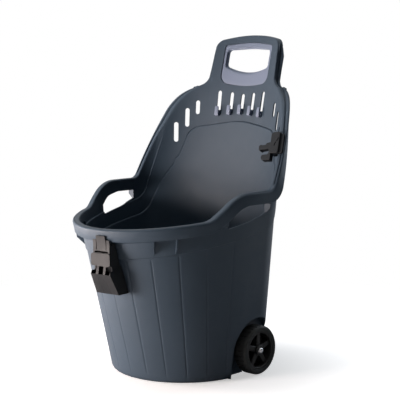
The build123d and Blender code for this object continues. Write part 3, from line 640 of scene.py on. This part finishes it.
def linear(code):
    # An sRGB hex colour as linear light
    parts = [int(code[place:place + 2], 16) / 255 for place in (1, 3, 5)]
    return [p / 12.92 if p <= 0.04045 else ((p + 0.055) / 1.055) ** 2.4 for p in parts] + [1.0]


def add_node(material, kind, sockets, **settings):
    # One shader node with its settings, its sockets given values or joined to other nodes' outputs
    node = material.node_tree.nodes.new(kind)
    for name, value in settings.items():
        setattr(node, name, value)
    for name, value in sockets.items():
        if isinstance(value, bpy.types.NodeSocket):
            material.node_tree.links.new(value, node.inputs[name])
        else:
            node.inputs[name].default_value = value
    return node


def new_finish(name):
    # A fresh material, its surface shader, and the place on the piece that its patterns follow
    material = bpy.data.materials.new(name)
    material.use_nodes = True
    surface = material.node_tree.nodes["Principled BSDF"]
    return material, surface, add_node(material, "ShaderNodeTexCoord", {}).outputs["Object"]


def moulded_plastic(name, colour, shade, smooth, rough, grain_mm, grain_depth_mm):
    # Injection-moulded plastic: an even body colour that drifts a little, a spark-eroded mould grain
    # that breaks the shine, and slightly shinier and duller patches. The grain is drawn coarser than
    # the real one, so that it shows
    drift_mm = 90
    patch_mm = 25
    material, surface, place = new_finish(name)
    drift = add_node(material, "ShaderNodeTexNoise",
                     {"Vector": place, "Scale": 1 / (drift_mm * MM), "Detail": 3.0, "Roughness": 0.5})
    tint = add_node(material, "ShaderNodeMix",
                    {0: drift.outputs[0], 6: linear(colour), 7: linear(shade)}, data_type="RGBA")
    patches = add_node(material, "ShaderNodeTexNoise",
                       {"Vector": place, "Scale": 1 / (patch_mm * MM), "Detail": 4.0, "Roughness": 0.6})
    shine = add_node(material, "ShaderNodeMapRange",
                     {"Value": patches.outputs[0], "From Min": 0.3, "From Max": 0.7,
                      "To Min": smooth, "To Max": rough})
    grain = add_node(material, "ShaderNodeTexNoise",
                     {"Vector": place, "Scale": 1 / (grain_mm * MM), "Detail": 2.0, "Roughness": 0.5})
    bump = add_node(material, "ShaderNodeBump",
                    {"Height": grain.outputs[0], "Strength": 0.35, "Distance": grain_depth_mm * MM})
    links = material.node_tree.links
    links.new(tint.outputs[2], surface.inputs["Base Color"])
    links.new(shine.outputs[0], surface.inputs["Roughness"])
    links.new(bump.outputs[0], surface.inputs["Normal"])
    surface.inputs["IOR"].default_value = 1.49
    return material


tub_finish = moulded_plastic("moulded_polypropylene", "#384857", "#334352", smooth=0.54, rough=0.62,
                             grain_mm=1.6, grain_depth_mm=0.3)
finish_surface(tub, tub_finish)
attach(tub, "cart")
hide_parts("tub")

# Handle insert
# A paler polypropylene frame round the hand opening, moulded by itself and pressed into the handle
# from the front until its flange snaps in behind the wall.

opening_outline = rounded(
    [(72, 807), (72, 763.8), (0, 738), (-72, 763.8), (-72, 807), (0, 811)],
    [9, 10, 173, 10, 9, 400], closed=True)
opening_middle = np.array([0.0, 778.0])
frame_columns = 480
frame_turns = np.linspace(0, 2 * pi, frame_columns, endpoint=False)


def seen_from_middle(outline):
    # Points of an outline in even directions from the middle of the opening
    line = np.vstack([outline, outline[:1]])
    length = np.concatenate([[0], np.cumsum(np.hypot(*np.diff(line, axis=0).T))])
    fine = np.linspace(0, length[-1], 4000, endpoint=False)
    spots = np.stack([np.interp(fine, length, line[:, axis]) for axis in (0, 1)], axis=-1)
    turn = np.arctan2(*(spots - opening_middle).T[::-1])
    even = [np.interp(frame_turns, turn, spots[:, axis], period=2 * pi) for axis in (0, 1)]
    return np.stack(even, axis=-1)


# Section of the frame: an edge, how far in from it, and how far behind the wall's outer face. The wide
# lower part is hollow from behind
insert_edge = seen_from_middle(insert_outline)
opening_edge = seen_from_middle(opening_outline)
insert_across = unit(opening_edge - insert_edge)
insert_gap = 0.3
insert_front = 0.5
insert_back = 11.0
plate_back = insert_front + 2.6
edge_round = 1.4
mouth_round = 6.5
mouth_depth = 10.2
flange_front = 2.8
flange_back = 5.4
flange_width = 5.0
skin = 2.2
hollow_share = smooth_step(opening_edge[:, 1], 768, 758)
hollow_back = insert_back - (insert_back - plate_back) * hollow_share
insert_section = [
    (insert_edge, insert_gap, insert_back),
    (insert_edge, insert_gap, flange_back),
    (insert_edge, -flange_width, flange_back),
    (insert_edge, -flange_width, flange_front),
    (insert_edge, insert_gap, flange_front),
]
insert_section += [
    (insert_edge, insert_gap + edge_round * (1 - cos(angle)), insert_front + edge_round * (1 - sin(angle)))
    for angle in np.linspace(0, pi / 2, 5)
]
insert_section += [
    ((insert_edge * (4 - part) + opening_edge * part) / 4, 0, insert_front) for part in (1, 2, 3)
]
insert_section += [
    (opening_edge, -mouth_round * (1 - sin(angle)), insert_front + mouth_depth * (1 - cos(angle)))
    for angle in np.linspace(0, pi / 2, 6)
]
insert_section += [
    (opening_edge, 0, insert_back),
    (opening_edge, -skin, insert_back),
    (opening_edge, -skin, hollow_back),
    (insert_edge, insert_gap + skin, hollow_back),
    (insert_edge, insert_gap + skin, insert_back),
    (insert_edge, insert_gap, insert_back),
]
insert_hoops = []
for edge, inset, grow in insert_section:
    across, height = (edge + inset * insert_across).T
    insert_hoops.append(np.stack([across, back_y(across, height, grow), height], axis=-1))
insert = as_object("handle_frame", hoop_mesh(insert_hoops))

trim_finish = moulded_plastic("moulded_grey_polypropylene", "#808ca1", "#79859b", smooth=0.46, rough=0.56,
                              grain_mm=1.2, grain_depth_mm=0.2)
finish_surface(insert, trim_finish)
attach(insert, "cart")
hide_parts("handle_insert")

# Tool hooks
# Five small J-shaped hooks moulded in the same pale plastic. Each is pushed through a slot of the back
# and its tail drops down behind the wall.

hook_width = 11.4
hook_round = 0.45
hook_profile = rounded(
    [(0.3, -13), (10.6, -13), (10.6, 13), (7.8, 13), (7.8, -10.2), (3.1, -10.2),
     (3.1, 3.6), (-6.6, 3.6), (-6.6, -12), (-3.8, -12), (-3.8, 0.6), (0.3, 0.6)],
    [1.2, 4, 1.3, 1.3, 1.6, 1.2, 1.4, 2, 1.2, 1.2, 0.8, 0.6], closed=True, steps=5)
hook_face = rounded([(5.2, -14), (5.2, 13.4), (-5.2, 13.4), (-5.2, -14)], [4.6, 4.9, 4.9, 4.6], closed=True)
face_start = -20.0
face_length = 60.0
lean_half = 16.0
back_front = ledge_depth - wall


def eased(mesh, width, segments, sharp=30):
    # Rounds the sharp edges of a mesh
    edges = [edge for edge in mesh.edges if edge.is_manifold and edge.calc_face_angle() > radians(sharp)]
    bmesh.ops.bevel(mesh, geom=edges, offset=width, offset_type="OFFSET", segments=segments, profile=0.5,
                    affect="EDGES", material=-1, clamp_overlap=True)
    bmesh.ops.recalc_face_normals(mesh, faces=mesh.faces)


def joined_up(data):
    # A mesh with its doubles merged and its flat faces whole again
    mesh = bmesh.new()
    mesh.from_mesh(data)
    bmesh.ops.remove_doubles(mesh, verts=mesh.verts, dist=0.01 * MM)
    bmesh.ops.dissolve_limit(mesh, angle_limit=radians(1), verts=mesh.verts, edges=mesh.edges)
    return mesh


hook_places = sorted([(side * x, low) for x, low, high in hook_slots for side in ((1, -1) if x else (1,))])
for number, (x, low) in enumerate(hook_places):
    turn = np.sign(x) * back_turn(abs(x), low)
    climb = back_y(x, low + lean_half, back_front) - back_y(x, low - lean_half, back_front)
    forward = Vector((-sin(turn), -cos(turn), climb / (2 * lean_half) * cos(turn))).normalized()
    up = forward.cross(Vector((cos(turn), -sin(turn), 0)))
    bar = forward.cross(up)
    seat = Vector((x, back_y(x, low, back_front), low))
    hook = as_object("hook_" + str(number + 1),
                     turned_prism(hook_profile, seat - bar * hook_width / 2, forward, up, hook_width))
    face = turned_prism(hook_face, seat + face_start * bar.cross(up), bar, up, face_length)
    shape_with(hook, face, "INTERSECT")
    settle(hook)
    soft = joined_up(hook.data)
    eased(soft, hook_round * MM, 2, sharp=50)
    soft.to_mesh(hook.data)
    soft.free()
    finish_surface(hook, trim_finish)
    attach(hook, "cart")
    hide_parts("tool_hook_" + str(number + 1))

# Axle and washers
# A plain drawn steel rod runs across under the tub, held in its two bosses, with a stamped steel washer
# between each boss and the wheel beside it.


def drawn_steel(name, colour, rough, polish):
    # Steel with fine lines along the rod, left by the die, that stretch the highlights
    line_mm = 0.6
    material, surface, place = new_finish(name)
    stretched = add_node(material, "ShaderNodeMapping", {"Vector": place, "Scale": (0.05, 1, 1)})
    lines = add_node(material, "ShaderNodeTexNoise",
                     {"Vector": stretched.outputs[0], "Scale": 1 / (line_mm * MM), "Detail": 2.0})
    shine = add_node(material, "ShaderNodeMapRange",
                     {"Value": lines.outputs[0], "From Min": 0.3, "From Max": 0.7,
                      "To Min": polish, "To Max": rough})
    material.node_tree.links.new(shine.outputs[0], surface.inputs["Roughness"])
    surface.inputs["Base Color"].default_value = linear(colour)
    surface.inputs["Metallic"].default_value = 1.0
    return material


axle_finish = drawn_steel("drawn_steel", "#c2c3c6", rough=0.42, polish=0.28)
for name in ("axle", "hub_washer_right", "hub_washer_left"):
    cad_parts[name].material_slots[0].material = axle_finish

# Wheels
# Each wheel is a black polypropylene moulding that turns freely on the axle: a hub, a thin back web, a
# rim and five tapered spokes.


def spun(profile, steps):
    # A profile of places along the axle and distances from it, turned once round the axle
    mesh = bmesh.new()
    verts = [mesh.verts.new((place, axle_y, axle_z + radius)) for place, radius in profile]
    edges = [mesh.edges.new((one, other)) for one, other in zip(verts, verts[1:] + verts[:1])]
    bmesh.ops.spin(mesh, geom=verts + edges, cent=(0, axle_y, axle_z), axis=(1, 0, 0), angle=2 * pi,
                   steps=steps, use_merge=True)
    bmesh.ops.remove_doubles(mesh, verts=mesh.verts, dist=0.005)
    bmesh.ops.recalc_face_normals(mesh, faces=mesh.faces)
    return mesh


def on_side(mesh, side):
    # Mirrors a right-hand mesh for the left-hand side
    if side < 0:
        bmesh.ops.scale(mesh, verts=mesh.verts, vec=(-1, 1, 1))
        bmesh.ops.reverse_faces(mesh, faces=mesh.faces)
    return mesh


wheel_profile = rounded(
    [(172, 5.1), (172, 14), (176, 14), (176, 42.5), (172, 42.5), (172, 47.5), (205, 47.5), (205, 43),
     (180, 41.5), (180, 14.6), (205, 13.4), (205, 5.1)],
    [0.3, 1, 1, 1, 1, 0.6, 0.6, 1.6, 3, 3, 1.6, 0.3], closed=True, steps=5)
spoke_count = 5
spoke_outline = [(10, -7.5), (43.5, -5.6), (43.5, 5.6), (10, 7.5)]
spoke_root = 178.0
spoke_depth = 22.0
spoke_round = 2.2
crest_start = spoke_root + spoke_depth - 1
wheel_finish = moulded_plastic("moulded_black_polypropylene", "#141415", "#101011", smooth=0.46, rough=0.56,
                               grain_mm=1.0, grain_depth_mm=0.15)

for side, side_name in ((1, "right"), (-1, "left")):
    wheel = as_object("wheel_moulding_" + side_name, on_side(spun(wheel_profile, 96), side))
    for number in range(spoke_count):
        angle = pi / 2 + number * 2 * pi / spoke_count
        spoke = turned_prism(spoke_outline, (spoke_root, axle_y, axle_z), (0, cos(angle), sin(angle)),
                             (0, -sin(angle), cos(angle)), spoke_depth)
        crests = [edge for edge in spoke.edges if all(vert.co.x > crest_start for vert in edge.verts)]
        bmesh.ops.bevel(spoke, geom=crests, offset=spoke_round, offset_type="OFFSET", segments=4,
                        profile=0.5, affect="EDGES", material=-1)
        bmesh.ops.recalc_face_normals(spoke, faces=spoke.faces)
        shape_with(wheel, on_side(spoke, side), "UNION")
    settle(wheel)
    finish_surface(wheel, wheel_finish)
    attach(wheel, side_name + "_wheel")
    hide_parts("wheel_" + side_name)

# Tyres
# A solid moulded rubber ring stretched over each wheel, with cross grooves in the tread and a low
# bead round the side wall.

tyre_profile = rounded(
    [(171, 47.55), (206, 47.55), (206.8, 49.2), (205.6, 50.6), (207, 52), (207, 57.5), (202, 61.5),
     (175, 61.5), (170, 57.5), (170, 52), (171.4, 50.6), (170.2, 49.2)],
    [0.4, 0.4, 0.7, 0.7, 1.2, 3, 4.5, 4.5, 3, 1.2, 0.7, 0.7], closed=True, steps=4)
tyre_radius = 61.5
tread_count = 30
tread_start = 160.0
tread_length = 60.0
tread_groove = rounded([(1.5, 2.5), (1.1, -1.7), (-1.1, -1.7), (-1.5, 2.5)], [0.1, 0.6, 0.6, 0.1],
                       closed=True, steps=3)


def tyre_rubber(name, colour, shade):
    # Black rubber: dull, with paler dust and wear in patches and a fine pebbled skin
    dust_mm = 14
    pebble_mm = 0.8
    pebble_depth_mm = 0.15
    material, surface, place = new_finish(name)
    dust = add_node(material, "ShaderNodeTexNoise",
                    {"Vector": place, "Scale": 1 / (dust_mm * MM), "Detail": 5.0, "Roughness": 0.65})
    tint = add_node(material, "ShaderNodeMix",
                    {0: dust.outputs[0], 6: linear(colour), 7: linear(shade)}, data_type="RGBA")
    pebble = add_node(material, "ShaderNodeTexNoise",
                      {"Vector": place, "Scale": 1 / (pebble_mm * MM), "Detail": 2.0})
    bump = add_node(material, "ShaderNodeBump",
                    {"Height": pebble.outputs[0], "Strength": 0.4, "Distance": pebble_depth_mm * MM})
    material.node_tree.links.new(tint.outputs[2], surface.inputs["Base Color"])
    material.node_tree.links.new(bump.outputs[0], surface.inputs["Normal"])
    surface.inputs["Roughness"].default_value = 0.72
    surface.inputs["IOR"].default_value = 1.52
    return material


tyre_finish = tyre_rubber("moulded_rubber", "#252727", "#2f3232")
for side, side_name in ((1, "right"), (-1, "left")):
    tyre = as_object("tyre_ring_" + side_name, on_side(spun(tyre_profile, 120), side))
    for number in range(tread_count):
        angle = (number + 0.5) * 2 * pi / tread_count
        out = np.array([0, cos(angle), sin(angle)])
        start = np.array([tread_start, axle_y, axle_z]) + tyre_radius * out
        cut = turned_prism(tread_groove, start, (0, -sin(angle), cos(angle)), out, -tread_length)
        shape_with(tyre, on_side(cut, side), "DIFFERENCE")
    settle(tyre)
    finish_surface(tyre, tyre_finish)
    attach(tyre, side_name + "_wheel")
    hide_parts("tyre_" + side_name)

# Axle caps
# Caps pressed from thin steel and chrome plated, each a flange and a low dome. They are pushed onto the
# ends of the axle and hold the wheels on.

dome_start = 207.1
dome_radius = 7.1
dome_height = 5.2
cap_profile = [(205.3, 0), (205.3, 8), (206.1, 8), (206.9, 7.6), (dome_start, 7.2)]
cap_profile += [
    (dome_start + dome_height * sin(angle), dome_radius * cos(angle))
    for angle in np.linspace(0.05, pi / 2, 12)
]


def chrome_plate(name, colour):
    # Bright chrome with the faint waviness of a pressed sheet under the plating
    wave_mm = 3
    material, surface, place = new_finish(name)
    waves = add_node(material, "ShaderNodeTexNoise",
                     {"Vector": place, "Scale": 1 / (wave_mm * MM), "Detail": 1.0})
    shine = add_node(material, "ShaderNodeMapRange",
                     {"Value": waves.outputs[0], "From Min": 0.3, "From Max": 0.7,
                      "To Min": 0.08, "To Max": 0.16})
    material.node_tree.links.new(shine.outputs[0], surface.inputs["Roughness"])
    surface.inputs["Base Color"].default_value = linear(colour)
    surface.inputs["Metallic"].default_value = 1.0
    return material


cap_finish = chrome_plate("chrome_plated_steel", "#e4e6e9")
for side, side_name in ((1, "right"), (-1, "left")):
    cap = as_object("push_cap_" + side_name, on_side(spun(cap_profile, 64), side))
    finish_surface(cap, cap_finish)
    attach(cap, "cart")
    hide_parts("axle_cap_" + side_name)

# Front clip
# A black nylon tool clip that hangs on the skirt of the front rim: a sprung tongue above, a flap across
# the middle and a wedge-shaped pocket with three mouths below.


def eased_copy(node, width, segments):
    # The CAD piece, drawn in millimetres, its edges rounded as far as its shortest edge allows
    mesh = joined_up(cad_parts[node].data)
    bmesh.ops.scale(mesh, verts=mesh.verts, vec=(1 / MM, 1 / MM, 1 / MM))
    eased(mesh, width, segments)
    return mesh


def even_light(piece):
    # Keeps broad flat faces flat to the light beside narrow ones
    even = piece.modifiers.new("even", "WEIGHTED_NORMAL")
    even.weight = 100
    even.keep_sharp = True


clip_finish = moulded_plastic("moulded_black_nylon", "#1c1f23", "#181b1f", smooth=0.5, rough=0.6,
                              grain_mm=0.9, grain_depth_mm=0.15)
# The coarse grain of the clips traps light, so they shine less than the tub
clip_finish.node_tree.nodes["Principled BSDF"].inputs["Specular IOR Level"].default_value = 0.3
clip_x = 21.0
clip_seat = 356.0
clip_overhang = 22.0
clip_turn = front_turn(clip_x, clip_seat, clip_overhang)
clip_out = np.array([sin(clip_turn), -cos(clip_turn), 0])
clip_side = np.array([cos(clip_turn), sin(clip_turn), 0])
clip_root = np.array([clip_x, front_y(clip_x, clip_seat, clip_overhang), clip_seat])
rim_clip = as_object("rim_clip", eased_copy("front_clip", 0.5, 2))
# A slit above the flap, and two grooves down the pocket between its mouths
slit_start = -6.0
slit_depth = 16.0
tongue_slit = rounded([(-21, -25), (21, -25), (21, -21.5), (-21, -21.5)], [1.5] * 4, closed=True, steps=4)
slit_form = turned_prism(tongue_slit, clip_root + slit_start * clip_out, clip_side, upward, slit_depth)
shape_with(rim_clip, slit_form, "DIFFERENCE")
groove_width = 1.6
pocket_groove = [(5.9, -76.4), (-22.5, -130), (-15, -134), (12, -80)]
for across in (-10.5, 10.5):
    start = clip_root + (across + groove_width / 2) * clip_side
    shape_with(rim_clip, turned_prism(pocket_groove, start, clip_out, upward, groove_width), "DIFFERENCE")
settle(rim_clip)
finish_surface(rim_clip, clip_finish)
even_light(rim_clip)
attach(rim_clip, "cart")
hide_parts("front_clip")

# Wing clip
# A second black nylon clip. Its saddle straddles the rim of the right-hand wing, and a jaw with two blunt
# fingers reaches in over the tub to hold a tool's handle.

wing_clip_height = 574.0
on_right_wing = (rim_x > 150) & (rim_y > 60)
wing_column = np.argmin(np.where(on_right_wing, abs(rim - wing_clip_height), np.inf))
wing_across = rim_out[wing_column]
wing_along = rim_along[wing_column] * np.sign(rim_along[wing_column][2])
wing_face = np.cross(wing_across, wing_along)


def on_wing(outline, start, depth, edge_width=0.0):
    # An outline drawn across and along the wing's rim, pulled out from its face, with rounded edges
    mesh = turned_prism(outline, rim_place[wing_column] + start * wing_face, wing_across, wing_along, depth)
    if edge_width:
        eased(mesh, edge_width, 3, sharp=50)
    return mesh


saddle_start = -0.3
saddle_outline = rounded([(-18, -27), (8, -29), (8, 29), (-18, 31)], [3, 3, 5, 8], closed=True, steps=6)
leg_outline = rounded([(-18, -27), (-6.5, -27.5), (-6.5, 29), (-18, 31)], [3, 2, 2, 8],
                      closed=True, steps=6)
foot_outline = rounded([(0, -27), (16.5, -29), (16.5, 25), (0, 27)], [2, 3, 5, 2], closed=True, steps=6)
saddle = as_object("wing_saddle", on_wing(saddle_outline, saddle_start, depth=12, edge_width=1.6))
shape_with(saddle, on_wing(leg_outline, -12, depth=22, edge_width=1.2), "UNION")
shape_with(saddle, on_wing(foot_outline, saddle_start, depth=5.5, edge_width=1.2), "UNION")
slot_lean = radians(25)
slot_turning = np.array([[cos(slot_lean), -sin(slot_lean)], [sin(slot_lean), cos(slot_lean)]])
saddle_slot = rounded([(1.3, -5.5), (1.3, 5.5), (-1.3, 5.5), (-1.3, -5.5)], [1.2] * 4,
                      closed=True, steps=4)
for slot_place in ((3.2, 8), (-3.5, -3)):
    shape_with(saddle, on_wing(saddle_slot @ slot_turning + slot_place, 8, depth=8), "DIFFERENCE")
settle(saddle)

jaw_start = -3.0
jaw_outline = rounded(
    [(-14, 0), (-42, -0.5), (-48, 2), (-53, -1), (-52.5, -12), (-48, -16), (-44.5, -13), (-22, -13.5),
     (-20, -21), (-23, -28), (-41, -27.5), (-43, -35), (-39, -42), (-14, -45)],
    [1, 4, 3, 4, 4, 2, 2, 4, 6, 3, 3, 4, 5, 1], closed=True, steps=5)
back_outline = rounded([(-14, -2), (-37, -2), (-37, 8), (-14, 9)], [1, 2, 3, 1], closed=True, steps=5)
jaw = as_object("wing_jaw", on_wing(jaw_outline, jaw_start, depth=13, edge_width=1.3))
shape_with(jaw, on_wing(back_outline, jaw_start, depth=6, edge_width=1.0), "UNION")
settle(jaw)

for piece, node in ((saddle, "wing_clip_mount"), (jaw, "wing_clip_jaw")):
    finish_surface(piece, clip_finish)
    even_light(piece)
    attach(piece, "cart")
    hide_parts(node)

# Floor and light
# A plain white studio floor under soft lamps: two low ones from the front left, a weak one above and one
# behind. Floor and air are white to the eye and in reflections, and the floor keeps the cart's shadow.


def white_to_the_eye(owner):
    # One for what the camera sees directly, in shiny surfaces or through clear ones, and nought otherwise
    path = add_node(owner, "ShaderNodeLightPath", {}).outputs
    shiny = add_node(owner, "ShaderNodeMath", {0: path["Is Camera Ray"], 1: path["Is Glossy Ray"]},
                     operation="MAXIMUM").outputs[0]
    return add_node(owner, "ShaderNodeMath", {0: shiny, 1: path["Is Transmission Ray"]},
                    operation="MAXIMUM").outputs[0]


# Near the cart the floor is matt paint, raised a little to the eye, and it fades to pure white farther out
floor_half = 20000.0
floor_mesh = bmesh.new()
bmesh.ops.create_grid(floor_mesh, x_segments=1, y_segments=1, size=floor_half)
floor = as_object("studio_floor", floor_mesh)
floor_paint = bpy.data.materials.new("white_studio_floor")
floor_paint.use_nodes = True
floor_nodes = floor_paint.node_tree.nodes
floor_nodes.remove(floor_nodes["Principled BSDF"])
floor_place = add_node(floor_paint, "ShaderNodeTexCoord", {}).outputs["Object"]
floor_away = add_node(floor_paint, "ShaderNodeVectorMath", {0: floor_place},
                      operation="LENGTH").outputs["Value"]
floor_far = add_node(floor_paint, "ShaderNodeMapRange",
                     {"Value": floor_away, "From Min": 0.55, "From Max": 1.3, "To Min": 0.0, "To Max": 1.0},
                     interpolation_type="SMOOTHSTEP").outputs[0]
floor_matt = add_node(floor_paint, "ShaderNodeBsdfDiffuse", {"Color": linear("#f2f2f2")}).outputs[0]
floor_raise = add_node(floor_paint, "ShaderNodeMapRange",
                       {"Value": floor_away, "From Min": 0.16, "From Max": 0.45,
                        "To Min": 0.46, "To Max": 0.89}).outputs[0]
floor_eye = add_node(floor_paint, "ShaderNodeLightPath", {}).outputs["Is Camera Ray"]
floor_glow = add_node(floor_paint, "ShaderNodeMath", {0: floor_raise, 1: floor_eye},
                      operation="MULTIPLY").outputs[0]
floor_lift = add_node(floor_paint, "ShaderNodeEmission", {"Strength": floor_glow}).outputs[0]
floor_white = add_node(floor_paint, "ShaderNodeEmission", {"Strength": 1.0}).outputs[0]
floor_near = add_node(floor_paint, "ShaderNodeAddShader", {0: floor_matt, 1: floor_lift}).outputs[0]
floor_seen = add_node(floor_paint, "ShaderNodeMixShader",
                      {0: floor_far, 1: floor_near, 2: floor_white}).outputs[0]
floor_all = add_node(floor_paint, "ShaderNodeMixShader",
                     {0: white_to_the_eye(floor_paint), 1: floor_matt, 2: floor_seen}).outputs[0]
floor_paint.node_tree.links.new(floor_all, floor_nodes["Material Output"].inputs["Surface"])
floor.data.materials.append(floor_paint)

world = bpy.data.worlds.new("studio")
bpy.context.scene.world = world
world.use_nodes = True
air = add_node(world, "ShaderNodeMapRange",
               {"Value": white_to_the_eye(world), "To Min": 0.015, "To Max": 1.0}).outputs[0]
sky = world.node_tree.nodes["Background"]
sky.inputs["Color"].default_value = (1, 1, 1, 1)
world.node_tree.links.new(air, sky.inputs["Strength"])


def aim(thing, place, target):
    # Stands a lamp or the camera at a place, in metres, turned to a target
    stand = bpy.data.objects.new(thing.name, thing)
    stand.location = place
    stand.rotation_euler = (Vector(target) - Vector(place)).to_track_quat("-Z", "Y").to_euler()
    bpy.context.scene.collection.objects.link(stand)
    return stand


def soft_lamp(name, place, target, size, watts, colour):
    # A round soft lamp, its size across in metres
    lamp = bpy.data.lights.new(name, "AREA")
    lamp.color = linear(colour)[:3]
    lamp.shape = "DISK"
    lamp.size = size
    lamp.energy = watts
    aim(lamp, place, target)


tub_middle = (0, 0, 0.35)
back_middle = (0, 0, 0.4)
soft_lamp("side_lamp", (-1.05, -0.7, 0.3), tub_middle, size=0.5, watts=13.5, colour="#ffefe8")
soft_lamp("front_lamp", (-0.45, -1.3, 0.3), tub_middle, size=0.5, watts=22, colour="#ffefe8")
soft_lamp("top_lamp", (-0.5, -0.25, 2.5), back_middle, size=1.0, watts=9, colour="#f0f6ff")
soft_lamp("rear_lamp", (0.4, 2.2, 1.0), back_middle, size=1.0, watts=15, colour="#e6f2ff")

# A tall dark screen round the right-hand side, out of the camera's sight, keeps that flank dark
screen_radius = 2300.0
screen_low = 30.0
screen_height = 1900.0
screen_mesh = bmesh.new()
screen_turns = [radians(turn) for turn in range(-30, 191, 10)]
screen_foot = [
    screen_mesh.verts.new((screen_radius * sin(turn), -screen_radius * cos(turn), screen_low))
    for turn in screen_turns
]
screen_edges = [screen_mesh.edges.new(pair) for pair in zip(screen_foot, screen_foot[1:])]
screen_cut = bmesh.ops.extrude_edge_only(screen_mesh, edges=screen_edges)["geom"]
screen_top = [vert for vert in screen_cut if isinstance(vert, bmesh.types.BMVert)]
bmesh.ops.translate(screen_mesh, verts=screen_top, vec=(0, 0, screen_height))
screen = as_object("dark_screen", screen_mesh)
screen_cloth = bpy.data.materials.new("black_cloth_screen")
screen_cloth.use_nodes = True
screen_surface = screen_cloth.node_tree.nodes["Principled BSDF"]
screen_surface.inputs["Base Color"].default_value = linear("#0a0a0a")
screen_surface.inputs["Roughness"].default_value = 1.0
screen.data.materials.append(screen_cloth)
screen.visible_camera = False
screen.visible_shadow = False

lens = bpy.data.cameras.new("camera")
lens.lens = 105.7
lens.sensor_width = 36
camera_place = (2.037, -2.146, 0.770)
camera_target = (0.0305, 0.0289, 0.4284)
bpy.context.scene.camera = aim(lens, camera_place, camera_target)
bpy.context.scene.view_settings.view_transform = "Standard"
